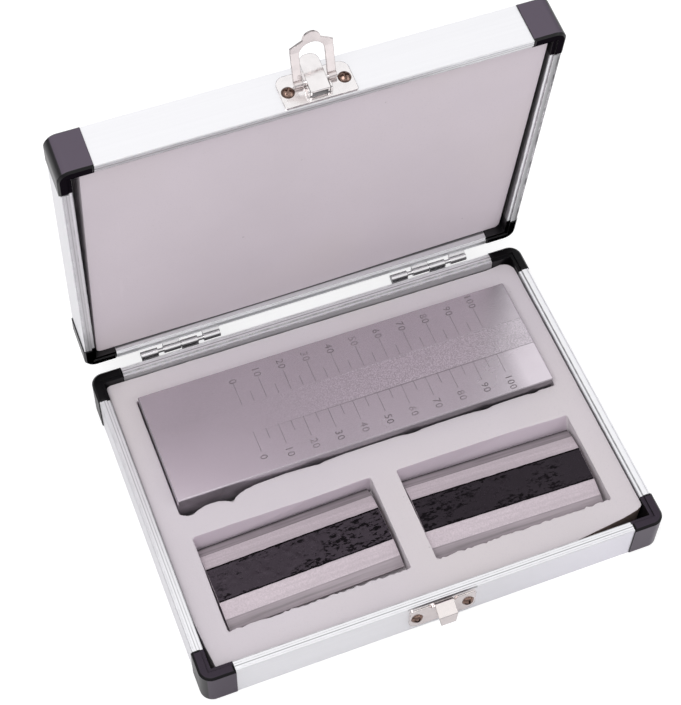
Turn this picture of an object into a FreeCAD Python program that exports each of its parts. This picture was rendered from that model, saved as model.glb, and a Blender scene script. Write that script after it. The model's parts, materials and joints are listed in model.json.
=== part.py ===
import FreeCAD, Part
import math
import os

# Fineness of grind gauge in its fitted case, standing open.
# X runs to the right, Y to the hinge side and Z up.
# The origin is on the table under the middle of the open kit's outline.
# Pieces are laid out about the middle of the case, and the lid is drawn shut and then turned back.

SIZES = {
    # Foam walls that set the size of the case
    "foam_wall": 9.45,
    "front_wall": 13.55,
    "middle_wall": 13.65,
    "rear_wall": 11.7,
    "foam_floor": 2.0,
    "foam_gap": 0.25,
    "foam_drop": 4.5,
    "pocket_play": 0.85,
    "end_play": 1.25,
    "side_play": 3.8,
    "pocket_web": 11.6,
    "pocket_shift": 1.0,
    "hand_gap": 5.6,
    "cut_corner_length": 14.0,
    "cut_corner_width": 10.0,
    "foam_recede": 1.6,
    "foam_round": 9.0,
    # Case
    "foot": 0.4,
    "rim_rise": 0.2,
    "shut_gap": 0.1,
    "lid_angle": 84.0,
    # Rail section
    "rail_wall": 1.5,
    "rim_width": 4.8,
    "rim_height": 5.6,
    "lip_width": 3.3,
    "ledge_drop": 0.8,
    "rail_bevel": 0.4,
    "bead_width": 0.8,
    "line_width": 0.4,
    "line_depth": 0.3,
    "flange": 1.2,
    "slot_depth": 2.5,
    # Panels
    "panel_thickness": 1.5,
    "panel_clearance": 0.05,
    "panel_radius": 4.0,
    # Moulded corners
    "corner_leg": 14.0,
    "corner_proud": 0.5,
    "corner_radius": 5.5,
    "corner_bevel": 0.9,
    "corner_gap": 0.05,
    "corner_cover": 0.1,
    "key_length": 8.0,
    "key_clearance": 0.15,
    # Hinges
    "hinge_inset": 42.85,
    "knuckle_length": 7.8,
    "knuckle_space": 2.7,
    "knuckle_seam": 0.4,
    "knuckle_diameter": 3.6,
    "hinge_pin_diameter": 2.0,
    "running_clearance": 0.03,
    "axis_out": 3.0,
    "axis_drop": 0.8,
    "leaf_thickness": 1.0,
    "leaf_height": 11.0,
    "leaf_start": 2.6,
    "web_near_angle": 207.0,
    "web_far_angle": 251.0,
    # Foam of the lid
    "liner_thickness": 14.1,
    "liner_drop": 1.2,
    "liner_side_gap": 1.3,
    # Gauge block
    "block_length": 175.0,
    "block_width": 55.3,
    "block_thickness": 15.0,
    "block_rise": 0.25,
    "block_push": 0.85,
    "block_bevel": 0.4,
    "scale_margin": 41.5,
    "scale_length": 115.0,
    "groove_width": 14.3,
    "groove_depth": 0.1,
    # Scrapers
    "scraper_length": 78.4,
    "scraper_width": 40.0,
    "scraper_thickness": 8.0,
    "flat_width": 16.0,
    "edge_width": 4.6,
    "ground_drop": 1.6,
    "edge_thickness": 0.8,
    "scraper_push": 0.4,
    "left_forward": -0.2,
    "right_forward": 1.6,
    "left_turn_angle": 1.5,
    "right_turn_angle": -1.3,
    # Screws
    "screw_gap": 0.15,
    "screw_height": 7.3,
    "screw_head": 5.4,
    "screw_dome": 1.6,
    "screw_crown": 3.4,
    "screw_shank": 2.4,
    "screw_length": 4.0,
    "hole_clearance": 0.05,
    # Latch plate on the lid
    "latch_right": 1.0,
    "plate_end": 3.35,
    "plate_height": 14.6,
    "plate_rise": 0.4,
    "plate_thickness": 1.0,
    "plate_corner": 4.0,
    "ear_thickness": 0.8,
    "ear_reach": 1.8,
    # Lever
    "lever_width": 8.0,
    "lever_sheet": 0.8,
    "lever_start": 2.7,
    "lever_length": 15.9,
    "lever_crease": 8.1,
    "lever_play": 0.12,
    "lever_gap": 0.35,
    "lever_heel": 1.3,
    "lever_slope": 1.1,
    "lever_flare": 1.0,
    "lever_tip_flat": 1.2,
    "lever_pin_diameter": 1.6,
    "lever_pin_out": 2.6,
    "lever_pin_height": 4.4,
    # Loop
    "loop_pin_diameter": 1.5,
    "loop_gap": 0.25,
    "loop_pin_height": 8.6,
    "loop_play": 0.28,
    "loop_leg": 3.4,
    "loop_sheet": 1.0,
    "loop_straight": 13.6,
    "loop_crown": 0.11,
    "loop_bend_angle": 12.0,
    "loop_eye": 2.5,
    "loop_arch": 3.5,
    "loop_shoulder": 2.3,
    "loop_slope": 2.6,
    "loop_dome": 7.2,
    "loop_lift_angle": 111.6,
    # Catch on the base
    "catch_height": 14.2,
    "catch_drop": 1.7,
    "catch_screw_drop": 8.8,
    "hook_width": 8.4,
    "hook_tip_width": 5.8,
    "hook_sheet": 1.1,
    "hook_reach": 7.5,
    "hook_length": 8.8,
    "hook_crest": 1.35,
    "hook_brow": 1.9,
}

# Lines and levels that several pieces share
LAYOUT = {
    "block_pocket_length": "sizes.block_length + 2 * sizes.pocket_play",
    "block_pocket_width": "sizes.block_width + 2 * sizes.pocket_play",
    "scraper_pocket_length": "sizes.scraper_length + 2 * sizes.end_play",
    "scraper_pocket_width": "sizes.scraper_width + 2 * sizes.side_play",
    "pockets_length": "2 * scraper_pocket_length + sizes.pocket_web + 2 * sizes.pocket_shift",
    "inner_width": "max(block_pocket_length; pockets_length) / 2 + sizes.foam_wall",
    "pockets_depth": "scraper_pocket_width + sizes.middle_wall + block_pocket_width",
    "inner_depth": "(sizes.front_wall + pockets_depth + sizes.rear_wall) / 2",
    "half_width": "inner_width + sizes.foam_gap + sizes.rim_width",
    "half_depth": "inner_depth + sizes.foam_gap + sizes.rim_width",
    "slot": "sizes.panel_thickness + 2 * sizes.panel_clearance",
    "slot_line": "sizes.rim_width - sizes.slot_depth",
    "panel_level": "sizes.foot + sizes.flange + sizes.panel_clearance",
    "foam_bottom": "panel_level + sizes.panel_thickness + sizes.foam_gap",
    "pocket_floor": "foam_bottom + sizes.foam_floor",
    "resting": "pocket_floor + sizes.foam_gap",
    "base_rim": "resting + sizes.block_thickness - sizes.block_rise",
    "base_height": "base_rim - sizes.foot",
    "liner_stack": "sizes.liner_drop + sizes.liner_thickness + sizes.foam_gap",
    "lid_height": "liner_stack + slot - sizes.panel_clearance + sizes.flange",
    "lid_rim": "base_rim + 2 * sizes.rim_rise + sizes.shut_gap",
    "lid_top": "lid_rim + lid_height",
    "axis_y": "half_depth + sizes.axis_out",
    "axis_z": "base_rim - sizes.axis_drop",
    "foam_top": "base_rim - sizes.foam_drop",
    "block_back": "inner_depth - sizes.rear_wall - block_pocket_width / 2",
    "pocket_front": "inner_depth - sizes.front_wall - scraper_pocket_width / 2",
    "pocket_offset": "(scraper_pocket_length + sizes.pocket_web) / 2",
    "hinge_offset": "half_width - sizes.hinge_inset",
    "leaf_half": "2 * sizes.knuckle_length + sizes.knuckle_space + sizes.knuckle_seam / 2",
    "liner_low": "lid_rim + sizes.liner_drop",
    "ears_inside": "sizes.lever_width + 2 * sizes.lever_play",
    "ears_outside": "ears_inside + 2 * sizes.ear_thickness",
    "loop_opening": "ears_outside + 2 * sizes.loop_play",
    "loop_width": "loop_opening + 2 * sizes.loop_leg",
    "screw_spread": "loop_width + sizes.screw_head + 2 * sizes.screw_gap",
    "plate_length": "screw_spread + 2 * sizes.plate_end",
    "loop_pin_out": "sizes.plate_thickness + sizes.loop_gap + sizes.loop_eye / 2",
    "lever_near": "sizes.plate_thickness + sizes.lever_gap",
    "lever_tip_out": "sizes.lever_pin_out + sizes.lever_heel + sizes.lever_slope + sizes.lever_flare",
    "kit_middle": "(axis_y + lid_top + sizes.foot - axis_z - half_depth - sizes.hook_reach) / 2",
}

ORIGIN = FreeCAD.Vector(0, 0, 0)
ACROSS = FreeCAD.Vector(1, 0, 0)
BACKWARD = FreeCAD.Vector(0, 1, 0)
UPWARD = FreeCAD.Vector(0, 0, 1)
DIAGONAL = FreeCAD.Vector(1, 1, 0)
BEYOND = 2.0

doc = FreeCAD.newDocument("grind_gauge")


def fill_sheet(label, entries):
    sheet = doc.addObject("Spreadsheet::Sheet", label)
    for row, (name, entry) in enumerate(entries.items(), start=1):
        sheet.set("A%d" % row, name)
        sheet.set("B%d" % row, str(entry) if label == "sizes" else "=" + entry)
        sheet.setAlias("B%d" % row, name)
    doc.recompute()
    return {name: float(sheet.get(name)) for name in entries}


size = fill_sheet("sizes", SIZES)
line = fill_sheet("layout", LAYOUT)


def move(x, y, z):
    return FreeCAD.Placement(FreeCAD.Vector(x, y, z), FreeCAD.Rotation())


def turn(axis, angle):
    return FreeCAD.Placement(ORIGIN, FreeCAD.Rotation(axis, angle))


stand = move(0, -line["kit_middle"], 0)
to_hinge = move(0, line["axis_y"], line["axis_z"])
lid_open = to_hinge * turn(ACROSS, -size["lid_angle"]) * to_hinge.inverse()
latch_seat = lid_open * move(size["latch_right"], -line["half_depth"], line["lid_rim"])
catch_seat = move(size["latch_right"], -line["half_depth"], line["base_rim"])
pin_out = {"lever_pin": size["lever_pin_out"], "loop_pin": line["loop_pin_out"]}
pin_seat = {pin: latch_seat * move(0, -out, size[pin + "_height"]) for pin, out in pin_out.items()}


def new_body(name):
    body = doc.addObject("PartDesign::Body", name)
    body.Label = name
    return body


def put(body, seat):
    """Set a finished piece in its place in the standing kit."""
    body.Placement = stand * seat


def new_sketch(body, role, name, offset=0.0):
    plane = [item for item in body.Origin.OriginFeatures if item.Role == role][0]
    sketch = body.newObject("Sketcher::SketchObject", name)
    sketch.AttachmentSupport = [(plane, "")]
    sketch.MapMode = "FlatFace"
    sketch.AttachmentOffset = move(0, 0, offset)
    return sketch


def draw_outline(sketch, corners):
    """Closed outline: each corner is (across, up) or (across, up, rounding radius)."""
    joints = []
    for index, corner_point in enumerate(corners):
        here = FreeCAD.Vector(corner_point[0], corner_point[1], 0)
        if len(corner_point) == 2:
            joints.append((here, here, None))
            continue
        before = FreeCAD.Vector(*corners[index - 1][:2], 0) - here
        after = FreeCAD.Vector(*corners[(index + 1) % len(corners)][:2], 0) - here
        before.normalize()
        after.normalize()
        half_angle = before.getAngle(after) / 2
        reach = corner_point[2] / math.tan(half_angle)
        middle = before + after
        middle.normalize()
        deep = corner_point[2] / math.sin(half_angle) - corner_point[2]
        joints.append((here + before * reach, here + after * reach, here + middle * deep))
    for index, (start, end, through) in enumerate(joints):
        if through is not None:
            sketch.addGeometry(Part.Arc(start, through, end))
        following = joints[(index + 1) % len(joints)][0]
        if end.distanceToPoint(following) > 1e-6:
            sketch.addGeometry(Part.LineSegment(end, following))


def draw_circle(sketch, across, up, diameter):
    sketch.addGeometry(Part.Circle(FreeCAD.Vector(across, up, 0), UPWARD, diameter / 2))


def rectangle(low_across, low_up, high_across, high_up, radius=None):
    corners = [(low_across, low_up), (high_across, low_up), (high_across, high_up), (low_across, high_up)]
    if radius is None:
        return corners
    return [point + (radius,) for point in corners]


def extrude(kind, body, sketch, length, symmetric):
    feature = body.newObject("PartDesign::" + kind, "%s_%s" % (sketch.Name, kind.lower()))
    feature.Profile = sketch
    feature.setExpression("Length", length)
    if symmetric:
        feature.SideType = "Symmetric"
    sketch.Visibility = False


def pad(body, sketch, length, symmetric=False):
    extrude("Pad", body, sketch, length, symmetric)


def pocket(body, sketch, length, symmetric=False):
    extrude("Pocket", body, sketch, length, symmetric)


def bevel(body, chosen, distance):
    """Chamfer the edges of the body that the given test picks."""
    doc.recompute()
    base = body.Tip
    names = ["Edge%d" % (n + 1) for n, edge in enumerate(base.Shape.Edges) if chosen(edge)]
    feature = body.newObject("PartDesign::Chamfer", body.Name + "_bevel")
    feature.Base = (base, names)
    feature.setExpression("Size", distance)


# Rails of the frame
def rail(name, height_name, run, seat, holes=()):
    """One length of the frame profile, outer face on Y = 0 and rim up, with screw holes."""
    height = line[height_name]
    wall = size["rail_wall"]
    rim = size["rim_width"]
    lip = size["lip_width"]
    bead = size["bead_width"]
    upper_flange = size["flange"] + line["slot"]
    body = new_body(name)
    section = new_sketch(body, "YZ_Plane", name + "_section")
    draw_outline(section, [
        (0, 0),
        (rim, 0),
        (rim, size["flange"]),
        (line["slot_line"], size["flange"]),
        (line["slot_line"], upper_flange),
        (rim, upper_flange),
        (rim, upper_flange + size["flange"]),
        (wall, upper_flange + size["flange"]),
        (wall, height - size["rim_height"]),
        (rim, height - size["rim_height"]),
        (rim, height - size["ledge_drop"]),
        (lip, height - size["ledge_drop"]),
        (lip, height),
        (bead + size["line_width"], height),
        (bead + size["line_width"], height - size["line_depth"]),
        (bead, height - size["line_depth"]),
        (bead, height),
        (size["rail_bevel"], height),
        (0, height - size["rail_bevel"]),
    ])
    pad(body, section, run, symmetric=True)
    if holes:
        drilled = new_sketch(body, "XZ_Plane", name + "_holes")
        for across, up in holes:
            draw_circle(drilled, across, up, size["screw_shank"] + 2 * size["hole_clearance"])
        pocket(body, drilled, "sizes.screw_length")
    put(body, seat)


def four_rails(part, height_name, upright, outside, holes):
    """Front, rear, left and right rail of the base or of the lid."""
    long_run = "2 * (layout.half_width - sizes.corner_leg - sizes.corner_gap)"
    short_run = "2 * (layout.half_depth - sizes.corner_leg - sizes.corner_gap)"
    sides = {
        "front": (0, -line["half_depth"], 0, long_run),
        "rear": (0, line["half_depth"], 180, long_run),
        "left": (-line["half_width"], 0, -90, short_run),
        "right": (line["half_width"], 0, 90, short_run),
    }
    for side, (across, back, angle, run) in sides.items():
        seat = outside * move(across, back, 0) * turn(UPWARD, angle) * upright
        rail("%s_rail_%s" % (part, side), height_name, run, seat, holes if side == "front" else ())


# Moulded corners
def corner(name, height_name, seat):
    """Cap on the ends of two rails, legs along +X and +Y from the outer faces, rim up."""
    leg = size["corner_leg"]
    proud = size["corner_proud"]
    inner = size["rim_width"] + size["corner_cover"]
    radius = size["corner_radius"]
    rail_rim = size["foot"] + line[height_name]
    full = rail_rim + size["rim_rise"]
    floor = size["foot"] + size["flange"]
    body = new_body(name)

    legs = new_sketch(body, "XY_Plane", name + "_legs")
    draw_outline(legs, [
        (-proud, -proud, radius),
        (leg, -proud),
        (leg, inner),
        (inner, inner),
        (inner, leg),
        (-proud, leg),
    ])
    pad(body, legs, "sizes.foot + layout.%s + sizes.rim_rise" % height_name)

    plate = new_sketch(body, "XY_Plane", name + "_plate")
    draw_outline(plate, [
        (-proud, -proud, radius),
        (leg, -proud),
        (leg, leg, radius),
        (-proud, leg),
    ])
    pad(body, plate, "sizes.foot + sizes.flange")

    ledge = new_sketch(body, "XY_Plane", name + "_ledge", full)
    lip = size["lip_width"]
    draw_outline(ledge, [
        (lip, lip),
        (leg + BEYOND, lip),
        (leg + BEYOND, inner + BEYOND),
        (inner + BEYOND, inner + BEYOND),
        (inner + BEYOND, leg + BEYOND),
        (lip, leg + BEYOND),
    ])
    pocket(body, ledge, "sizes.ledge_drop")

    groove = new_sketch(body, "XY_Plane", name + "_groove", floor + line["slot"])
    draw_outline(groove, rectangle(line["slot_line"], line["slot_line"], leg + BEYOND, leg + BEYOND))
    pocket(body, groove, "layout.slot")

    clear = size["key_clearance"]
    key_outline = rectangle(
        size["rail_wall"] + clear,
        floor + line["slot"] + size["flange"] + clear,
        size["rim_width"] - clear,
        rail_rim - size["rim_height"] - clear,
    )
    for role, start in (("YZ_Plane", leg - BEYOND), ("XZ_Plane", -leg - size["key_length"])):
        key = new_sketch(body, role, "%s_key_%s" % (name, role[0]), start)
        draw_outline(key, key_outline)
        pad(body, key, "sizes.key_length + %g" % BEYOND)

    def on_outer_edge(edge):
        box = edge.BoundBox
        level = box.ZMin > full - 0.01 or box.ZMax < 0.01
        near = min(box.XMax, box.YMax) < radius and min(box.XMin, box.YMin) < 0.01 - proud
        return level and near

    bevel(body, on_outer_edge, "sizes.corner_bevel")
    put(body, seat)


def four_corners(part, height_name, upright, outside):
    places = {
        "front_left": (-line["half_width"], -line["half_depth"], 0),
        "front_right": (line["half_width"], -line["half_depth"], 90),
        "rear_right": (line["half_width"], line["half_depth"], 180),
        "rear_left": (-line["half_width"], line["half_depth"], 270),
    }
    for place, (across, back, angle) in places.items():
        seat = outside * move(across, back, 0) * turn(UPWARD, angle) * upright
        corner("%s_corner_%s" % (part, place), height_name, seat)


# Panels held in the slots of the rails
def panel(name, seat):
    body = new_body(name)
    wide = line["half_width"] - line["slot_line"] - size["panel_clearance"]
    deep = line["half_depth"] - line["slot_line"] - size["panel_clearance"]
    shape = new_sketch(body, "XY_Plane", name + "_outline")
    draw_outline(shape, rectangle(-wide, -deep, wide, deep, size["panel_radius"]))
    pad(body, shape, "sizes.panel_thickness")
    put(body, seat)


# Foam insert of the base
def foam_insert():
    """Foam block with one pocket for the gauge and one for each scraper, cut by hand."""
    wide = line["inner_width"]
    deep = line["inner_depth"]
    body = new_body("foam_insert")
    outline = new_sketch(body, "XY_Plane", "foam_outline", line["foam_bottom"])
    draw_outline(outline, [
        (-wide + size["cut_corner_length"], -deep),
        (0.3 * wide, -deep),
        (wide, size["foam_recede"] - deep),
        (wide, deep, size["foam_round"]),
        (-wide, deep),
        (-wide, size["cut_corner_width"] - deep),
    ])
    pad(body, outline, "layout.foam_top - layout.foam_bottom")

    long = line["block_pocket_length"]
    left = size["block_push"] - long / 2
    rear = line["block_back"] + line["block_pocket_width"] / 2
    front = line["block_back"] - line["block_pocket_width"] / 2
    cut = new_sketch(body, "XY_Plane", "foam_block_pocket", line["foam_top"])
    draw_outline(cut, [
        (left, front - 0.5 * size["hand_gap"]),
        (left + 0.03 * long, front - 0.9 * size["hand_gap"]),
        (left + 0.13 * long, front - 0.9 * size["hand_gap"]),
        (left + 0.37 * long, front),
        (left + long, front),
        (left + long, rear),
        (left, rear),
    ])
    pocket(body, cut, "layout.foam_top - layout.pocket_floor")

    half_long = line["scraper_pocket_length"] / 2
    half_wide = line["scraper_pocket_width"] / 2
    for side, direction in (("left", -1), ("right", 1)):
        middle = size["pocket_shift"] + direction * line["pocket_offset"]
        cut = new_sketch(body, "XY_Plane", "foam_%s_pocket" % side, line["foam_top"])
        draw_outline(cut, rectangle(
            middle - half_long,
            -line["pocket_front"] - half_wide,
            middle + half_long,
            -line["pocket_front"] + half_wide,
        ))
        pocket(body, cut, "layout.foam_top - layout.pocket_floor")
    put(body, FreeCAD.Placement())


# Foam liner of the lid
def lid_liner():
    body = new_body("lid_liner")
    wide = line["half_width"] - size["rim_width"] - size["liner_side_gap"]
    deep = line["inner_depth"]
    outline = new_sketch(body, "XY_Plane", "liner_outline", line["liner_low"])
    draw_outline(outline, rectangle(-wide, -deep, wide, deep))
    pad(body, outline, "sizes.liner_thickness")
    put(body, lid_open)


# Gauge block with its wedge-shaped groove
def gauge_block():
    body = new_body("gauge_block")
    long = size["block_length"] / 2
    wide = size["block_width"] / 2
    thick = size["block_thickness"]
    outline = new_sketch(body, "XY_Plane", "block_outline")
    draw_outline(outline, rectangle(-long, -wide, long, wide))
    pad(body, outline, "sizes.block_thickness")
    bevel(body, lambda edge: True, "sizes.block_bevel")
    start = size["scale_margin"] - long
    end = long + BEYOND
    depth = size["groove_depth"] / size["scale_length"] * (end - start)
    groove = new_sketch(body, "XZ_Plane", "groove_side")
    draw_outline(groove, [
        (start, thick),
        (end, thick - depth),
        (end, thick + BEYOND),
        (start, thick + BEYOND),
    ])
    pocket(body, groove, "sizes.groove_width", symmetric=True)
    put(body, move(size["block_push"], line["block_back"], line["resting"]))


# Scrapers: flat middle, ground slopes and steeper edges on both faces
def scraper(side, direction):
    name = "scraper_" + side
    body = new_body(name)
    flat = size["flat_width"] / 2
    edge = size["scraper_width"] / 2
    ground = edge - size["edge_width"]
    thick = size["scraper_thickness"]
    low_edge = (thick - size["edge_thickness"]) / 2
    drop = size["ground_drop"]
    section = new_sketch(body, "YZ_Plane", name + "_section")
    draw_outline(section, [
        (-flat, 0),
        (flat, 0),
        (ground, drop),
        (edge, low_edge),
        (edge, thick - low_edge),
        (ground, thick - drop),
        (flat, thick),
        (-flat, thick),
        (-ground, thick - drop),
        (-edge, thick - low_edge),
        (-edge, low_edge),
        (-ground, drop),
    ])
    pad(body, section, "sizes.scraper_length", symmetric=True)
    across = size["pocket_shift"] + direction * line["pocket_offset"] - size["scraper_push"]
    back = -line["pocket_front"] - size[side + "_forward"]
    put(body, move(across, back, line["resting"]) * turn(UPWARD, size[side + "_turn_angle"]))


# Hinges: two leaves with alternating knuckles on one pin
def hinge_leaf(name, seat):
    """Leaf with its axis along X through the origin and its plate hanging on the near side."""
    body = new_body(name)
    seam = size["knuckle_seam"]
    radius = size["knuckle_diameter"] / 2
    out = size["axis_out"]
    thick = size["leaf_thickness"]
    start = -size["leaf_start"]
    half = line["leaf_half"]
    plate = new_sketch(body, "YZ_Plane", name + "_plate", -half)
    draw_outline(plate, rectangle(-out, start - size["leaf_height"], thick - out, start))
    pad(body, plate, "2 * layout.leaf_half")

    near = math.radians(size["web_near_angle"])
    far = math.radians(size["web_far_angle"])
    for label, left in (("outer", -half), ("inner", seam / 2)):
        web = new_sketch(body, "YZ_Plane", "%s_web_%s" % (name, label), left)
        draw_outline(web, [
            (-out, start - thick),
            (thick - out, start - thick),
            (radius * math.cos(far), radius * math.sin(far)),
            (radius * math.cos(near), radius * math.sin(near)),
            (-out, start),
        ])
        pad(body, web, "sizes.knuckle_length")
        barrel = new_sketch(body, "YZ_Plane", "%s_barrel_%s" % (name, label), left)
        draw_circle(barrel, 0, 0, size["knuckle_diameter"])
        pad(body, barrel, "sizes.knuckle_length")
    bore = new_sketch(body, "YZ_Plane", name + "_bore")
    draw_circle(bore, 0, 0, size["hinge_pin_diameter"] + 2 * size["running_clearance"])
    pocket(body, bore, "4 * layout.leaf_half", symmetric=True)
    put(body, seat)


def round_pin(name, diameter, length, seat):
    body = new_body(name)
    circle = new_sketch(body, "YZ_Plane", name + "_circle")
    draw_circle(circle, 0, 0, size[diameter])
    pad(body, circle, length, symmetric=True)
    put(body, seat)


def hinges():
    for side, direction in (("left", -1), ("right", 1)):
        seat = move(direction * line["hinge_offset"], 0, 0) * to_hinge
        hinge_leaf("hinge_%s_base_leaf" % side, seat)
        hinge_leaf("hinge_%s_lid_leaf" % side, lid_open * seat * turn(BACKWARD, 180))
        round_pin("hinge_%s_pin" % side, "hinge_pin_diameter", "2 * layout.leaf_half", seat)


# Screws of the latch and the catch
def screw(name, seat):
    """Raised head on the plate and shank into the rail, axis along Y."""
    body = new_body(name)
    head = size["screw_head"] / 2
    crown = size["screw_crown"] / 2
    dome = size["screw_dome"]
    shank = size["screw_shank"] / 2
    depth = size["screw_length"]
    sketch = new_sketch(body, "XY_Plane", name + "_half")
    draw_outline(sketch, [
        (0, -dome),
        (0, depth),
        (shank, depth),
        (shank, 0),
        (head, 0),
        (crown, -dome),
    ])
    turned = body.newObject("PartDesign::Revolution", name + "_turned")
    turned.Profile = sketch
    turned.ReferenceAxis = (sketch, ["V_Axis"])
    turned.Angle = 360
    sketch.Visibility = False
    put(body, seat)


def screw_pair(prefix, frame, up):
    for side, direction in (("left", -1), ("right", 1)):
        across = direction * line["screw_spread"] / 2
        screw("%s_screw_%s" % (prefix, side), frame * move(across, -size["plate_thickness"], up))


def screw_holes(body, name, up):
    """The two screw holes of a plate that stands on Y = 0."""
    holes = new_sketch(body, "XZ_Plane", name, size["plate_thickness"])
    for direction in (-1, 1):
        across = direction * line["screw_spread"] / 2
        draw_circle(holes, across, up, size["screw_shank"] + 2 * size["hole_clearance"])
    pocket(body, holes, "sizes.plate_thickness")


# Draw latch: plate with ears, channel lever and cranked loop
def latch_plate():
    body = new_body("latch_plate")
    half = line["plate_length"] / 2
    low = size["plate_rise"]
    high = low + size["plate_height"]
    sheet = new_sketch(body, "XZ_Plane", "latch_plate_outline")
    draw_outline(sheet, [
        (-half, low, size["ear_thickness"]),
        (half, low, size["ear_thickness"]),
        (half, high, size["plate_corner"]),
        (-half, high, size["plate_corner"]),
    ])
    pad(body, sheet, "sizes.plate_thickness")

    middle_out = size["lever_pin_out"]
    middle_up = size["lever_pin_height"]
    reach = size["ear_reach"]
    root = 0.5 * size["plate_thickness"]
    inner = line["ears_inside"] / 2
    for label, left in (("left", -inner - size["ear_thickness"]), ("right", inner)):
        ear = new_sketch(body, "YZ_Plane", "latch_ear_" + label, left)
        draw_outline(ear, [
            (-root, middle_up - reach),
            (-middle_out - reach, middle_up - reach, 0.8 * reach),
            (-middle_out - reach, middle_up + reach, 0.8 * reach),
            (-root, middle_up + reach),
        ])
        pad(body, ear, "sizes.ear_thickness")

    window = new_sketch(body, "XZ_Plane", "latch_window", size["plate_thickness"])
    draw_outline(window, rectangle(-inner, middle_up - 1.1 * reach, inner, middle_up + 1.4 * reach))
    pocket(body, window, "sizes.plate_thickness")
    screw_holes(body, "latch_screw_holes", size["screw_height"])

    bore = new_sketch(body, "YZ_Plane", "latch_pin_holes")
    draw_circle(bore, -middle_out, middle_up, size["lever_pin_diameter"] + 2 * size["running_clearance"])
    pocket(body, bore, "layout.plate_length", symmetric=True)
    put(body, latch_seat)


def latch_lever():
    """Folded channel lever, shut against the plate, with its finger tip at the top."""
    body = new_body("latch_lever")
    half = size["lever_width"] / 2
    low = size["lever_start"]
    high = low + size["lever_length"]
    sheet = size["lever_sheet"]
    crease = low + size["lever_crease"]
    tip_radius = half - size["lever_tip_flat"] / 2
    near_plate = line["lever_near"]
    out_low = size["lever_pin_out"] + size["lever_heel"]
    out_crease = out_low + size["lever_slope"]
    out_tip = line["lever_tip_out"]
    plan = new_sketch(body, "XZ_Plane", "lever_plan", near_plate)
    draw_outline(plan, [
        (-half, low, 0.5 * sheet),
        (half, low, 0.5 * sheet),
        (half, high, tip_radius),
        (-half, high, tip_radius),
    ])
    pad(body, plan, "layout.lever_tip_out - layout.lever_near + sizes.lever_sheet")

    over = new_sketch(body, "YZ_Plane", "lever_back")
    draw_outline(over, [
        (-out_low, low - BEYOND),
        (-out_low, low),
        (-out_crease, crease),
        (-out_tip, high),
        (-out_tip, high + BEYOND),
        (-out_tip - BEYOND, high + BEYOND),
        (-out_tip - BEYOND, low - BEYOND),
    ])
    pocket(body, over, "2 * sizes.lever_width", symmetric=True)

    under = new_sketch(body, "YZ_Plane", "lever_underside")
    draw_outline(under, [
        (0, crease + sheet),
        (-near_plate, crease + sheet),
        (1.7 * sheet - out_tip, high - 2.5 * sheet),
        (sheet - out_tip, high),
        (sheet - out_tip, high + BEYOND),
        (0, high + BEYOND),
    ])
    pocket(body, under, "2 * sizes.lever_width", symmetric=True)

    inside = new_sketch(body, "YZ_Plane", "lever_inside")
    draw_outline(inside, [
        (0, low - BEYOND),
        (sheet - out_low, low - BEYOND),
        (sheet - out_low, low),
        (sheet - out_crease, crease),
        (sheet - out_tip, high),
        (0, high),
    ])
    pocket(body, inside, "sizes.lever_width - 2 * sizes.lever_sheet", symmetric=True)

    bores = new_sketch(body, "YZ_Plane", "lever_bores")
    for pin, out in pin_out.items():
        hole = size[pin + "_diameter"] + 2 * size["running_clearance"]
        draw_circle(bores, -out, size[pin + "_height"], hole)
    pocket(body, bores, "2 * sizes.lever_width", symmetric=True)
    put(body, latch_seat)


def latch_loop():
    """Flat cranked loop drawn hanging from its pin at the origin, then lifted from the lid."""
    body = new_body("latch_loop")
    back = size["loop_eye"] / 2
    front = back - size["loop_sheet"]
    straight = size["loop_straight"]
    shoulder = straight + size["loop_shoulder"]
    slope_end = shoulder + size["loop_slope"]
    dome = size["loop_dome"] / 2
    tip = slope_end + dome + size["loop_crown"]
    aside = (tip - straight) * math.tan(math.radians(size["loop_bend_angle"]))
    half = line["loop_width"] / 2
    opening = line["loop_opening"] / 2
    strip = new_sketch(body, "YZ_Plane", "loop_strip")
    draw_outline(strip, [
        (-back, 0),
        (-front, 0),
        (-front, -straight),
        (aside - front, -tip),
        (aside - back, -tip),
        (-back, -straight),
    ])
    pad(body, strip, "layout.loop_width", symmetric=True)

    for label, left in (("left", -half), ("right", opening)):
        eye = new_sketch(body, "YZ_Plane", "loop_eye_" + label, left)
        draw_circle(eye, 0, 0, size["loop_eye"])
        pad(body, eye, "sizes.loop_leg")

    arch = straight + size["loop_arch"]
    inside = new_sketch(body, "XZ_Plane", "loop_inside")
    draw_outline(inside, [
        (-opening, BEYOND),
        (-opening, -arch, 0.999 * opening),
        (opening, -arch, 0.999 * opening),
        (opening, BEYOND),
    ])
    pocket(body, inside, "4 * layout.loop_width", symmetric=True)

    outside = new_sketch(body, "XZ_Plane", "loop_outside")
    draw_outline(outside, [
        (-half - BEYOND, -shoulder),
        (-half, -shoulder),
        (-dome, -slope_end),
        (-dome, -tip, 0.999 * dome),
        (dome, -tip, 0.999 * dome),
        (dome, -slope_end),
        (half, -shoulder),
        (half + BEYOND, -shoulder),
        (half + BEYOND, -tip - BEYOND),
        (-half - BEYOND, -tip - BEYOND),
    ])
    pocket(body, outside, "4 * layout.loop_width", symmetric=True)

    bore = new_sketch(body, "YZ_Plane", "loop_bore")
    draw_circle(bore, 0, 0, size["loop_pin_diameter"] + 2 * size["running_clearance"])
    pocket(body, bore, "2 * layout.loop_width", symmetric=True)
    put(body, pin_seat["loop_pin"] * turn(ACROSS, -size["loop_lift_angle"]))


def latch_pins():
    for pin, length in (("lever_pin", "layout.ears_outside"), ("loop_pin", "layout.loop_width")):
        round_pin(pin, pin + "_diameter", length, pin_seat[pin])


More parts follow.
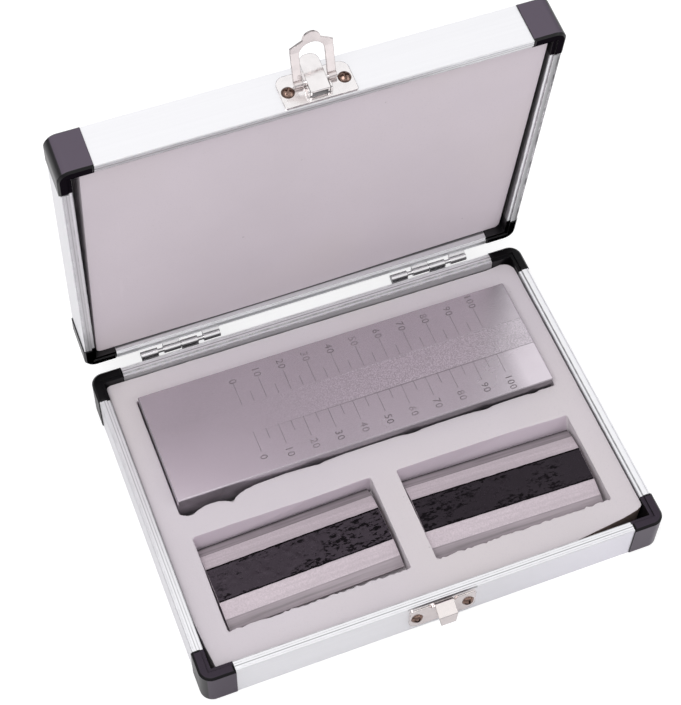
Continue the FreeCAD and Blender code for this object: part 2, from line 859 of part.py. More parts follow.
# Catch: plate with a hook bent over from its top edge
def catch_plate():
    body = new_body("catch_plate")
    half = line["plate_length"] / 2
    high = -size["catch_drop"]
    low = high - size["catch_height"]
    thick = size["plate_thickness"]
    gauge = size["hook_sheet"]
    sheet = new_sketch(body, "XZ_Plane", "catch_outline")
    draw_outline(sheet, [
        (-half, low, size["plate_corner"]),
        (half, low, size["plate_corner"]),
        (half, high, 1.5 * thick),
        (-half, high, 1.5 * thick),
    ])
    pad(body, sheet, "sizes.plate_thickness")

    reach = size["hook_reach"]
    crest = high + size["hook_crest"]
    brow = high - size["hook_brow"]
    tip = brow - 0.62 * size["hook_length"]
    profile = new_sketch(body, "YZ_Plane", "hook_profile")
    draw_outline(profile, [
        (0, high - gauge),
        (0, crest - 0.9 * gauge, 0.7 * gauge),
        (-1.5 * gauge, crest, 0.9 * gauge),
        (0.6 * gauge - reach, brow, 0.8 * gauge),
        (-reach, tip),
        (gauge - reach, tip),
        (1.55 * gauge - reach, brow - 0.7 * gauge, 0.35 * gauge),
        (-thick - 0.7 * gauge, crest - 1.3 * gauge, 0.5 * gauge),
        (-thick, high - gauge),
    ])
    pad(body, profile, "sizes.hook_width", symmetric=True)

    hook = size["hook_width"] / 2
    slim = size["hook_tip_width"] / 2
    notch = new_sketch(body, "XZ_Plane", "hook_notches", thick)
    for direction in (-1, 1):
        draw_outline(notch, [
            (direction * hook, high + BEYOND),
            (direction * hook, high - 1.6 * gauge),
            (direction * (hook + 0.8 * gauge), high - 1.6 * gauge),
            (direction * (hook + 2 * gauge), high + 0.1 * gauge),
            (direction * (hook + 2 * gauge), high + BEYOND),
        ])
    pocket(body, notch, "sizes.plate_thickness")

    sides = new_sketch(body, "XZ_Plane", "hook_sides", reach + BEYOND)
    for direction in (-1, 1):
        draw_outline(sides, [
            (direction * hook, brow + 0.3 * gauge),
            (direction * slim, tip - BEYOND),
            (direction * (hook + BEYOND), tip - BEYOND),
            (direction * (hook + BEYOND), brow + 0.3 * gauge),
        ])
    pocket(body, sides, "sizes.hook_reach + %g - 1.2 * sizes.plate_thickness" % BEYOND)
    screw_holes(body, "catch_screw_holes", -size["catch_screw_drop"])
    put(body, catch_seat)


def build_base():
    upright = FreeCAD.Placement()
    across = [size["latch_right"] + side * line["screw_spread"] / 2 for side in (-1, 1)]
    up = line["base_height"] - size["catch_screw_drop"]
    four_rails("base", "base_height", upright, move(0, 0, size["foot"]), [(x, up) for x in across])
    four_corners("base", "base_height", upright, upright)
    panel("base_floor_panel", move(0, 0, line["panel_level"]))
    foam_insert()
    gauge_block()
    scraper("left", -1)
    scraper("right", 1)
    catch_plate()
    screw_pair("catch", catch_seat, -size["catch_screw_drop"])


def build_lid():
    outside = lid_open * move(0, 0, line["lid_top"])
    across = [-size["latch_right"] + side * line["screw_spread"] / 2 for side in (-1, 1)]
    up = line["lid_height"] - size["screw_height"]
    four_rails("lid", "lid_height", turn(BACKWARD, 180), outside, [(x, up) for x in across])
    four_corners("lid", "lid_height", turn(DIAGONAL, 180), outside * move(0, 0, size["foot"]))
    below_top = size["flange"] + size["panel_clearance"] + size["panel_thickness"]
    panel("lid_top_panel", outside * move(0, 0, -below_top))
    lid_liner()
    latch_plate()
    screw_pair("latch", latch_seat, size["screw_height"])
    latch_lever()
    latch_loop()
    latch_pins()


def check_and_export():
    doc.recompute()
    for item in doc.Objects:
        if "Invalid" in item.State or "Error" in item.State:
            raise RuntimeError("%s failed" % item.Name)
    pieces = [item for item in doc.Objects if item.TypeId == "PartDesign::Body"]
    for piece in pieces:
        if piece.Shape.isNull() or not piece.Shape.isValid() or len(piece.Shape.Solids) != 1:
            raise RuntimeError("%s has no single valid solid" % piece.Label)
    os.makedirs("parts", exist_ok=True)
    for piece in pieces:
        piece.Shape.exportStep("parts/%s.step" % piece.Label)
    print("%d pieces written" % len(pieces))


build_base()
build_lid()
hinges()
check_and_export()
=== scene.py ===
import json
import math

import bpy
from bpy.props import FloatProperty, FloatVectorProperty, IntProperty, PointerProperty
from mathutils import Matrix, Vector, noise


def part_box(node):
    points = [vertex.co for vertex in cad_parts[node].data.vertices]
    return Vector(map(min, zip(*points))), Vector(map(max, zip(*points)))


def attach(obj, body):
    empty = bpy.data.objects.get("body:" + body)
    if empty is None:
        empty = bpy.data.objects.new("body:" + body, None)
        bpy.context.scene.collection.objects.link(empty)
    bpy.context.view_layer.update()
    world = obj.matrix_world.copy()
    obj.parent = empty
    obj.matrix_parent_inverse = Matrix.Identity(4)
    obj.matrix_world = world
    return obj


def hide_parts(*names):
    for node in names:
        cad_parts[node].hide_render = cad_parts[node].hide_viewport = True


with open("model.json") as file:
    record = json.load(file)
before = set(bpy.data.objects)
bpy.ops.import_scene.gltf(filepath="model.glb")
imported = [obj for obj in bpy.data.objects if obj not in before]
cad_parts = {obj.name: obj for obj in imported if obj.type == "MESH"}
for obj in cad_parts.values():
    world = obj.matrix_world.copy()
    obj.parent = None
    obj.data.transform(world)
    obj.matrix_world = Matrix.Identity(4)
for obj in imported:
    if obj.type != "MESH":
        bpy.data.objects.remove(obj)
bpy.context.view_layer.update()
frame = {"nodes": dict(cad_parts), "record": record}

bl_info = {
    "name": "Grind gauge kit",
    "version": (1, 0, 0),
    "blender": (4, 5, 0),
    "location": "3D View > Sidebar > Gauge kit",
    "description": "Foam, marks, finishes and studio for a fineness of grind gauge in its case",
    "category": "Add Mesh",
}

MM = 0.001
NODES = sorted(frame["nodes"])
RECORD_JOINTS = {joint["name"]: joint for joint in frame["record"]["behaviour"]["joints"]}
HINGE_LINE = Vector(RECORD_JOINTS["lid_hinge"]["pos_m"])
LID_ANGLE = math.radians(RECORD_JOINTS["lid_hinge"]["range_deg"][1])
LID_TURN = (
    Matrix.Translation(HINGE_LINE)
    @ Matrix.Rotation(-LID_ANGLE, 4, "X")
    @ Matrix.Translation(-HINGE_LINE)
)


# Sizes and colours that a user would change


def length(name, description, default):
    return FloatProperty(name=name, description=description, default=default, unit="LENGTH")


def tint(name, description, default):
    return FloatVectorProperty(name=name, description=description, default=default, subtype="COLOR")


class KitSizes(bpy.types.PropertyGroup):
    mark_width: length("Mark width", "Width of an engraved mark", 0.2 * MM)
    mark_depth: length("Mark depth", "Thickness of the filled marks", 0.03 * MM)
    scale_margin: length("Scale margin", "From the left end of the block to the zero mark", 41.5 * MM)
    scale_length: length("Scale length", "From the zero mark to the last mark", 115 * MM)
    number_height: length("Number height", "Height of the digits on the block", 3.4 * MM)
    foam_cell: length("Foam cell", "Size of the faces that the foam is made of", 0.75 * MM)
    foam_sag: length("Foam unevenness", "How far the foam top rises and falls", 0.35 * MM)
    strip_width: length("Strip width", "Width of the dark strip on a scraper", 16.2 * MM)
    strip_lift: length("Strip lift", "Mean height of the strip over the flat", 0.12 * MM)
    rivet_radius: length("Rivet radius", "Radius of a hinge rivet's head", 1.5 * MM)
    rivets: IntProperty(name="Rivets", description="Rivets in each hinge leaf", default=3, min=1)


class KitColours(bpy.types.PropertyGroup):
    rail: tint("Rails", "Anodised rails", (0.855, 0.855, 0.875))
    corner: tint("Corners", "Moulded corners", (0.0045, 0.004, 0.005))
    # Fronts of the corners: partly real scuffing, partly a painted sheen
    rubbed_and_sheen: tint("Scuffed corners with painted sheen", "Scuffed fronts of the corners, with painted sheen", (0.060, 0.045, 0.067))
    panel: tint("Panels", "Outer panels", (0.42, 0.42, 0.44))
    foam: tint("Foam", "Foam of the base", (0.57, 0.53, 0.565))
    liner: tint("Liner", "Foam of the lid", (0.6, 0.54, 0.585))
    block: tint("Block", "Ground steel of the gauge", (0.52, 0.475, 0.515))
    mark: tint("Marks", "Engraved marks and numbers", (0.10, 0.085, 0.095))
    scraper: tint("Scrapers", "Ground steel of the scrapers", (0.525, 0.457, 0.497))
    strip: tint("Strip", "Dark strip on a scraper", (0.006, 0.005, 0.006))
    nickel: tint("Latch", "Plating of the latch", (0.89, 0.86, 0.855))
    catch: tint("Catch", "Plating of the catch", (0.87, 0.81, 0.79))
    loop: tint("Loop", "Plating of the latch loop", (0.76, 0.70, 0.69))
    hinge: tint("Hinges", "Plating of the hinges", (0.80, 0.79, 0.80))
    screw: tint("Screws", "Plating of the screws", (0.29, 0.195, 0.16))


# Front edge of the block's pocket, cut by hand in short bows: place along it and gap to the block, in mm
POCKET_EDGE = (
    (-87.6, 3.6), (-84.5, 5.3), (-82, 5.9), (-80, 4.7), (-77, 3.7), (-73, 3.2), (-69, 3.6), (-66, 4.7),
    (-64, 6.0), (-62.5, 4.4), (-60, 3.0), (-57, 2.0), (-53, 1.3), (-47, 1.0), (-38, 0.7), (-30, 0.8),
    (-23, 1.5), (-20, 0.8), (-10, 0.5), (5, 0.4), (16, 0.6), (22, 1.2), (25, 0.7), (38, 0.4),
    (50, 0.6), (56, 1.1), (59, 0.6), (68, 0.4), (76, 0.6), (79, 1.1), (82, 0.5), (89.2, 0.7),
)

# Width of the outer part of a rail's rim, up to its ledge, and distance of a scraper's creases from its middle
LEDGE = 3.3 * MM
CREASE = 15.4 * MM
STRIP_LENGTH = 78.2 * MM
# Gloss of each dark strip, the end with more wrinkles and the seed of its wrinkles
STRIP_LOOKS = {"left": (0.6, 1, Vector((4, 7, 1))), "right": (0.3, -1, Vector((1, 3, 8)))}
# How far each scraper is turned in its pocket, in degrees
SCRAPER_TURNS = {"left": 1.5, "right": -1.3}
# Ways into the case from each of its sides
INWARD = {"front": (0, 1, 0), "rear": (0, -1, 0), "left": (1, 0, 0), "right": (-1, 0, 0)}

# Looks of the rails, all painted shade: tone of the rim outside and inside, of the inner wall and of the outer
# face, depth of the dark lines along the rim, and their places in mm from outside
ALL_LINES = (2.15, 3.35, 4.7)
RAIL_LOOKS = {
    "base_rail_front": (1.0, 1.0, 0.5, 1.0, 0.95, ALL_LINES),
    "base_rail_rear": (1.0, 1.0, 0.5, 1.0, 0.95, ALL_LINES),
    "base_rail_left": (1.0, 1.0, 0.5, 0.84, 0.6, ALL_LINES),
    "base_rail_right": (1.0, 1.0, 0.5, 1.0, 0.95, ALL_LINES[1:]),
    "lid_rail_front": (0.78, 0.78, 0.85, 1.0, 0.95, ALL_LINES),
    "lid_rail_rear": (0.78, 0.78, 0.85, 1.0, 0.95, ALL_LINES),
    "lid_rail_left": (0.78, 0.78, 0.85, 0.84, 0.6, ALL_LINES),
    "lid_rail_right": (0.12, 0.5, 0.42, 1.0, 0.95, ALL_LINES[1:]),
}
# Looks of the corners: tone of the scuffed front with its painted sheen, tone of the painted shade on the rim
# against it, gloss beside the rim and on it
CORNER_LOOKS = {"base": (0.85, 0.6, (0.22, 0.14)), "lid": (1.15, 0.1, (0.5, 0.0))}

# Half sizes of the lid's liner and its heights when the lid is shut, in mm
LINER_HALF = (96.75, 71.75)
LINER_HEIGHTS = (22.1, 36.1)
# Slope and mean height in mm of the line of painted shadow where the liner meets the inner wall of each lid rail
LINER_LINES = {
    "front": ((0, 0, 0), 23.5),
    "rear": ((0.6 / LINER_HALF[0], 0, 0), 24.1),
    "left": ((0, 0, 0), 23.5),
    "right": ((0, 0.8 / LINER_HALF[1], 0), 23.9),
}

# Pocket of a scraper in mm: half its length and depth, and its middle from the scraper's middle
POCKET_HALF = (40.45, 23.8)
POCKET_SHIFT = {"left": (0.4, -0.2), "right": (0.4, 1.6)}

# Foam bed: how far its left side draws in at the front, its front edge at the right, and how far its right side rises
FOAM_DRAW = 2.5 * MM
FOAM_GAP = 5.2 * MM
FOAM_RISE = 2.7 * MM
# Front and rear side of the block's groove from its middle
GROOVE_SIDES = (-6.95 * MM, 7.35 * MM)
# Rows of marks: way from the middle of the block, their start and end, and the gap to the numbers, in mm
SCALE_ROWS = ((1, 8.2, 19.2, 0.3), (-1, 6.8, 17.0, 1.8))
SCALE_STEPS = 20
SHORT_MARK = 5.2
# Share of the type size that a digit is high
DIGIT_SHARE = 0.73
# Rivets from the line of the hinge, rearward and up
RIVET_PLACE = (-2.0 * MM, -8.1 * MM)
# Screws: height of the dome, half sizes of the two arms of the recess in mm
DOME_RISE = 1.6 * MM
RECESS_ARMS = ((1.75, 0.36), (0.38, 1.75))

CAMERA_PLACE = (-0.16323, -0.36101, 0.69457)
CAMERA_TURN = (32.93477, -0.93886, -21.20720)
CAMERA_LENS = 92.036

# Modelling helpers


def deselect():
    bpy.ops.object.select_all(action="DESELECT")


def pick(piece):
    deselect()
    piece.select_set(True)
    bpy.context.view_layer.objects.active = piece


def named(name):
    """The object that was just added, with its name, its place put into its mesh."""
    piece = bpy.context.view_layer.objects.active
    piece.name = name
    piece.data.name = name
    bpy.ops.object.transform_apply(location=True, rotation=True, scale=True)
    return piece


def add_box(name, low, high):
    low, high = Vector(low), Vector(high)
    deselect()
    bpy.ops.mesh.primitive_cube_add(size=1, location=(low + high) / 2, scale=high - low)
    return named(name)


def add_cylinder(name, radius, depth, place, turn=(0, 0, 0), sides=32):
    deselect()
    bpy.ops.mesh.primitive_cylinder_add(
        vertices=sides, radius=radius, depth=depth, location=place, rotation=turn)
    return named(name)


def use_modifier(piece, kind, **settings):
    pick(piece)
    modifier = piece.modifiers.new(kind.lower(), kind)
    for key, setting in settings.items():
        setattr(modifier, key, setting)
    bpy.ops.object.modifier_apply(modifier=modifier.name)


def prism(name, front, rear, left, right, low, high, cells):
    """A block whose front face follows a curve, made from a grid one cell deep."""
    deselect()
    bpy.ops.mesh.primitive_grid_add(x_subdivisions=cells, y_subdivisions=1, size=1)
    piece = named(name)
    for point in piece.data.vertices:
        x = left + (point.co.x + 0.5) * (right - left)
        point.co = Vector((x, rear if point.co.y > 0 else front(x), low))
    use_modifier(piece, "SOLIDIFY", thickness=high - low, offset=1)
    return piece


def cut(piece, cutter):
    use_modifier(piece, "BOOLEAN", operation="DIFFERENCE", object=cutter, solver="EXACT")
    bpy.data.objects.remove(cutter, do_unlink=True)


def upright_edges(piece, near, radius, segments):
    """Round or cut off the upright edge of a box that stands nearest to a point."""
    pick(piece)
    bpy.ops.object.mode_set(mode="EDIT")
    bpy.ops.mesh.select_all(action="DESELECT")
    bpy.ops.mesh.select_mode(type="EDGE")
    bpy.ops.object.mode_set(mode="OBJECT")
    points = piece.data.vertices
    upright = [
        edge for edge in piece.data.edges
        if (points[edge.vertices[0]].co - points[edge.vertices[1]].co).xy.length < 1e-6
    ]
    nearest = min(upright, key=lambda edge: (points[edge.vertices[0]].co.xy - Vector(near).xy).length)
    nearest.select = True
    bpy.ops.object.mode_set(mode="EDIT")
    bpy.ops.mesh.bevel(offset=radius, segments=segments, affect="EDGES")
    bpy.ops.object.mode_set(mode="OBJECT")


def round_corners(piece, low, high, radius, segments):
    """Round or cut off all four upright edges of a box."""
    for x in (low[0], high[0]):
        for y in (low[1], high[1]):
            upright_edges(piece, (x, y), radius, segments)


def remesh(piece, cell, keep):
    """Soften a cut block into even faces and thin them out where it is flat."""
    pick(piece)
    piece.data.remesh_voxel_size = cell
    piece.data.use_remesh_fix_poles = False
    bpy.ops.object.voxel_remesh()
    use_modifier(piece, "SMOOTH", factor=0.5, iterations=1)
    use_modifier(piece, "DECIMATE", decimate_type="COLLAPSE", ratio=keep)


def join(pieces, name):
    deselect()
    for piece in pieces:
        piece.select_set(True)
    bpy.context.view_layer.objects.active = pieces[0]
    bpy.ops.object.join()
    pieces[0].name = name
    pieces[0].data.name = name
    return pieces[0]


def smooth(piece, angle=35):
    pick(piece)
    bpy.ops.object.shade_smooth_by_angle(angle=math.radians(angle))


def finish_piece(piece, body, material, replaces=()):
    piece.data.materials.clear()
    piece.data.materials.append(material)
    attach(piece, body)
    if replaces:
        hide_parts(*replaces)


# Shader groups that several finishes use


class Graph:
    """Short calls for adding and joining the nodes of one tree."""

    def __init__(self, tree):
        self.tree = tree

    def add(self, kind, **settings):
        node = self.tree.nodes.new(kind)
        for key, setting in settings.items():
            setattr(node, key, setting)
        return node

    def join(self, source, target):
        self.tree.links.new(source, target)

    def feed(self, socket, given):
        """Join a socket to another one, or set it to a value."""
        if isinstance(given, bpy.types.NodeSocket):
            self.join(given, socket)
        elif given is not None:
            socket.default_value = given

    def math(self, operation, first, second=None, clamp=False):
        node = self.add("ShaderNodeMath", operation=operation, use_clamp=clamp)
        self.feed(node.inputs[0], first)
        self.feed(node.inputs[1], second)
        return node.outputs[0]

    def times(self, first, second, clamp=False):
        return self.math("MULTIPLY", first, second, clamp)

    def away(self, value, place):
        """How far a value is from a place, either way."""
        return self.math("ABSOLUTE", self.math("SUBTRACT", value, place))

    def along(self, vector, direction):
        """How far a vector reaches along a direction."""
        node = self.add("ShaderNodeVectorMath", operation="DOT_PRODUCT")
        self.join(vector, node.inputs[0])
        self.feed(node.inputs[1], direction)
        return node.outputs["Value"]

    def axes(self, vector):
        node = self.add("ShaderNodeSeparateXYZ")
        self.join(vector, node.inputs[0])
        return node.outputs[0], node.outputs[1], node.outputs[2]

    def noise(self, vector, scale, detail=4.0, rough=0.5):
        node = self.add("ShaderNodeTexNoise")
        node.inputs["Detail"].default_value = detail
        node.inputs["Roughness"].default_value = rough
        self.join(vector, node.inputs["Vector"])
        self.feed(node.inputs["Scale"], scale)
        return node.outputs["Fac"]

    def spread(self, value, low, high, to_low=0.0, to_high=1.0):
        node = self.add("ShaderNodeMapRange")
        limits = {"From Min": low, "From Max": high, "To Min": to_low, "To Max": to_high}
        for label, limit in limits.items():
            node.inputs[label].default_value = limit
        self.join(value, node.inputs["Value"])
        return node.outputs["Result"]

    def blend(self, factor, first, second):
        node = self.add("ShaderNodeMix", data_type="RGBA")
        colours = [socket for socket in node.inputs if socket.type == "RGBA"]
        for socket, given in zip(colours, (first, second)):
            self.feed(socket, (*given, 1.0) if isinstance(given, tuple) else given)
        self.feed(node.inputs["Factor"], factor)
        return [socket for socket in node.outputs if socket.type == "RGBA"][0]

    def soft_edges(self, radius, samples=4):
        """The normal, rounded across the edges."""
        node = self.add("ShaderNodeBevel", samples=samples)
        node.inputs["Radius"].default_value = radius
        return node.outputs[0]


def group(name, inputs, outputs):
    """A new shader group: its graph, the sockets it is given and the sockets it puts out."""
    tree = bpy.data.node_groups.new(name, "ShaderNodeTree")
    tree.interface.new_socket("Vector", in_out="INPUT", socket_type="NodeSocketVector")
    for label, default in inputs.items():
        kind = "NodeSocketVector" if isinstance(default, tuple) else "NodeSocketFloat"
        tree.interface.new_socket(label, in_out="INPUT", socket_type=kind).default_value = default
    for label in outputs:
        tree.interface.new_socket(label, in_out="OUTPUT", socket_type="NodeSocketFloat")
    graph = Graph(tree)
    return graph, graph.add("NodeGroupInput").outputs, graph.add("NodeGroupOutput").inputs


def grain_group():
    """Fine specks and wide clouds over a surface."""
    g, given, put = group("Fine grain", {"Scale": 900.0, "Cloud scale": 25.0}, ("Specks", "Clouds"))
    g.join(g.noise(given["Vector"], given["Scale"], 3.0, 0.6), put["Specks"])
    clouds = g.noise(given["Vector"], given["Cloud scale"], 4.0, 0.55)
    g.join(g.spread(clouds, 0.3, 0.7), put["Clouds"])


def stroke_group():
    """Fine parallel strokes along the first axis of the vector."""
    g, given, put = group("Ground strokes", {"Scale": 400.0, "Stretch": 0.02}, ("Strokes", "Wide strokes"))
    x, y, z = g.axes(given["Vector"])
    drawn = g.add("ShaderNodeCombineXYZ")
    for socket, part in zip(drawn.inputs, (g.times(x, given["Stretch"]), y, z)):
        g.join(part, socket)
    g.join(g.noise(drawn.outputs[0], given["Scale"], 3.0, 0.65), put["Strokes"])
    g.join(g.noise(drawn.outputs[0], g.times(given["Scale"], 0.15), 3.0, 0.5), put["Wide strokes"])


def edge_group():
    """Mask of the edges, broken up by noise: real wearing of the edges, and also painted shade and painted highlights
    on them.
    """
    g, given, put = group("Edge wearing and shading", {"Break up": 300.0}, ("Wearing and shading",))
    surface = g.add("ShaderNodeNewGeometry")
    edge = g.spread(g.along(g.soft_edges(0.35 * MM, 6), surface.outputs["Normal"]), 0.995, 0.9)
    broken = g.spread(g.noise(given["Vector"], given["Break up"], 2.0), 0.35, 0.6)
    g.join(g.times(edge, broken, clamp=True), put["Wearing and shading"])


def facing_group():
    """Mask of the faces that look along a direction of their own object."""
    g, given, put = group("Facing", {"Direction": (0.0, 0.0, 1.0)}, ("Facing",))
    surface = g.add("ShaderNodeTexCoord")
    g.join(g.spread(g.along(surface.outputs["Normal"], given["Direction"]), 0.6, 0.85), put["Facing"])


class Finish(Graph):
    """One material with its Principled shader and Object coordinates turned to its piece."""

    def __init__(self, name, colour, roughness, metallic=0.0, turn=(0, 0, 0), centre=(0, 0, 0)):
        self.base = colour
        self.material = bpy.data.materials.new(name)
        self.material.use_nodes = True
        super().__init__(self.material.node_tree)
        self.shader = self.tree.nodes["Principled BSDF"]
        self.shader.inputs["Roughness"].default_value = roughness
        self.shader.inputs["Metallic"].default_value = metallic
        coordinates = self.add("ShaderNodeTexCoord")
        mapping = self.add("ShaderNodeMapping", vector_type="TEXTURE")
        mapping.inputs["Location"].default_value = centre
        mapping.inputs["Rotation"].default_value = turn
        self.object = coordinates.outputs["Object"]
        self.join(self.object, mapping.inputs["Vector"])
        self.place = mapping.outputs["Vector"]

    def use(self, name, **values):
        node = self.add("ShaderNodeGroup", node_tree=bpy.data.node_groups[name])
        self.join(self.place, node.inputs["Vector"])
        for key, given in values.items():
            node.inputs[key.replace("_", " ").capitalize()].default_value = given
        return node.outputs

    def grain(self, scale, cloud_scale):
        made = self.use("Fine grain", scale=scale, cloud_scale=cloud_scale)
        return made["Specks"], made["Clouds"]

    def strokes(self, scale, stretch):
        made = self.use("Ground strokes", scale=scale, stretch=stretch)
        return made["Strokes"], made["Wide strokes"]

    def edges_wearing_and_shading(self, break_up):
        return self.use("Edge wearing and shading", break_up=break_up)["Wearing and shading"]

    def facing(self, direction):
        return self.use("Facing", direction=direction)["Facing"]

    def tone(self, *factors):
        return shade(self.base, *factors)

    def colour(self, source):
        self.join(source, self.shader.inputs["Base Color"])

    def roughness(self, source):
        self.join(source, self.shader.inputs["Roughness"])

    def bump(self, height, strength, distance, normal=None):
        node = self.add("ShaderNodeBump")
        node.inputs["Strength"].default_value = strength
        node.inputs["Distance"].default_value = distance
        self.join(height, node.inputs["Height"])
        self.feed(node.inputs["Normal"], normal)
        self.join(node.outputs[0], self.shader.inputs["Normal"])


def shade(colour, *factors):
    """A colour times one factor, or times one for each of its parts."""
    return tuple(min(1.0, part * factor) for part, factor in zip(colour, factors * 3))


# Finishes


def rail_finish(name, colour, turn, rim, inward, start, look, shaded_foot, catch_shadow):
    """Satin anodised rail with painted shade: lines along its rim, a darker rim, grey inner wall, darker outer face.
    """
    outer_rim, inner_rim, wall, outer, depth, places = look
    f = Finish(name, colour, 0.3, metallic=0.7, turn=turn)
    strokes, wide = f.strokes(900.0, 0.01)
    on_rim = f.facing(rim)
    on_wall = f.facing(inward)
    body = f.blend(f.spread(strokes, 0.3, 0.7), f.tone(0.985), f.tone(1.01))
    across = f.along(f.object, inward)
    # Painted shade on the rim: darker on the lid, fading across the lid's right rail
    upper = f.spread(across, start + LEDGE, start + LEDGE + 0.1 * MM, 1.0, 0.0)
    fade = f.blend(f.spread(across, start, start + LEDGE), f.tone(outer_rim), f.tone(inner_rim))
    body = f.blend(f.times(on_rim, upper), body, fade)
    # Painted shade: dark lines in the fine grooves along the rim and at its inner edge beside the foam
    for place in places:
        line = f.away(across, start + place * MM)
        line = f.spread(line, 0.12 * MM, 0.3 * MM, 0.95 if place == places[-1] else depth, 0.0)
        body = f.blend(f.times(line, on_rim), body, f.tone(0.42))
    # Painted shade on the inner wall
    body = f.blend(on_wall, body, f.tone(wall))
    # Painted shadow in the gap where the liner meets the inner wall of a lid rail
    if shaded_foot:
        direction, level = shaded_foot
        gap = f.spread(f.along(f.object, direction), level - 0.8 * MM, level - 0.4 * MM)
        body = f.blend(f.times(gap, on_wall), body, f.tone(0.2))
    # Painted shade on the outer face, on the left rails
    body = f.blend(f.times(f.facing([-value for value in inward]), 1 - outer), body, (0.0, 0.0, 0.0))
    if catch_shadow:
        middle, height, half = catch_shadow
        x, y, z = f.axes(f.object)
        front = f.facing((0, -1, 0))
        # Painted shade: the front face of the front rail darker towards the right
        painted_shade_right = f.times(f.spread(x, 0.0, 95 * MM), front)
        body = f.blend(painted_shade_right, body, f.tone(0.76, 0.745, 0.79))
        # Painted shadow in a thin band just above the catch plate
        along = f.away(x, middle)
        dark = f.spread(along, half * 0.6, half * 1.05, 0.97, 0.4)
        dark = f.times(dark, f.math("LESS_THAN", along, half * 1.05))
        dark = f.times(dark, f.spread(f.away(z, height), 0.5 * MM, 0.75 * MM, 1.0, 0.0), clamp=True)
        dark = f.times(dark, f.spread(front, 0.1, 0.3))
        body = f.blend(dark, body, (0.03, 0.018, 0.024))
    # Edges lighter: partly real wearing, partly a painted highlight
    f.colour(f.blend(f.edges_wearing_and_shading(200.0), body, f.tone(1.1)))
    f.roughness(f.spread(wide, 0.3, 0.7, 0.28, 0.32))
    f.bump(strokes, 0.05, 0.02 * MM, f.soft_edges(0.15 * MM))
    return f.material


def corner_finish(name, colour, rubbed_and_sheen, rim_shade, gloss, rim, front):
    """Black moulding: painted shade and less gloss on its rim, painted shade on its edges, scuffed front with painted
    sheen.
    """
    f = Finish(name, colour, 0.34)
    specks, clouds = f.grain(900.0, 40.0)
    on_rim = f.facing(rim)
    body = f.blend(clouds, f.tone(0.85), f.tone(1.15))
    # Painted sheen on the front, over scuffed grey
    body = f.blend(f.spread(f.facing(front), 0.8, 1.0), body, rubbed_and_sheen)
    # Painted shade on the rim
    body = f.blend(f.spread(on_rim, 0.8, 1.0), body, rim_shade)
    # Painted shade on the edges
    f.colour(f.blend(f.edges_wearing_and_shading(350.0), body, f.tone(0.3)))
    f.join(f.spread(on_rim, 0.0, 1.0, *gloss), f.shader.inputs["Specular IOR Level"])
    f.bump(specks, 0.3, 0.04 * MM, f.soft_edges(0.4 * MM))
    return f.material


def panel_finish(colour):
    """Moulded plastic with a fine grain and scuffed, lighter edges."""
    f = Finish("Grained panel", colour, 0.5)
    specks, clouds = f.grain(700.0, 40.0)
    body = f.blend(clouds, f.tone(0.96), f.tone(1.04))
    f.colour(f.blend(f.times(f.edges_wearing_and_shading(350.0), 0.5), body, f.tone(1.5)))
    f.roughness(f.spread(clouds, 0.0, 1.0, 0.45, 0.57))
    f.bump(specks, 0.35, 0.12 * MM, f.soft_edges(0.35 * MM))
    return f.material


def foam_finish(name, colour, turn=(0, 0, 0), bed=None):
    """Closed-cell foam: matte, with fine pores and a soft change of tone; in the bed, painted shade on its walls."""
    f = Finish(name, colour, 0.85, turn=turn)
    f.shader.inputs["Specular IOR Level"].default_value = 0.25
    specks, clouds = f.grain(1400.0, 14.0)
    body = f.blend(clouds, f.tone(0.97), f.tone(1.03))
    warm = f.spread(f.noise(f.place, 9.0, 2.0), 0.45, 0.75, 0.0, 0.6)
    body = f.blend(warm, body, f.tone(1.0, 1.005, 0.93))
    pale = f.spread(f.strokes(70.0, 0.12)[0], 0.66, 0.74, 0.0, 0.5)
    body = f.blend(pale, body, f.tone(1.1))
    dots = f.spread(f.noise(f.place, 260.0, 1.0), 0.17, 0.2, 0.6, 0.0)
    body = f.blend(dots, body, f.tone(0.55))
    body = f.blend(f.spread(specks, 0.3, 0.42), f.tone(0.95), body)
    if bed:
        left, front, floor = bed
        x, y, z = f.axes(f.object)
        wall = f.facing((0, -1, 0))
        # Painted shade on the walls that face the front, tinted purple
        body = f.blend(wall, body, f.tone(0.92, 0.85, 0.91))
        # Painted shadow on the front side of the bed
        dark = f.times(f.math("LESS_THAN", y, front), wall)
        body = f.blend(dark, body, f.tone(0.4, 0.31, 0.26))
        # Painted shade at the base of the walls, over the pocket floors
        shaded_foot = f.times(f.spread(z, floor + 0.4 * MM, floor + 2.2 * MM, 0.93, 0.0), wall)
        body = f.blend(shaded_foot, body, f.tone(0.07, 0.05, 0.055))
        # Painted shade on the left side of the bed
        side = f.spread(x, left + 0.3 * MM, left + 0.6 * MM, 0.4, 0.0)
        body = f.blend(side, body, f.tone(0.2))
    f.colour(body)
    f.bump(specks, 0.35, 0.1 * MM)
    return f.material


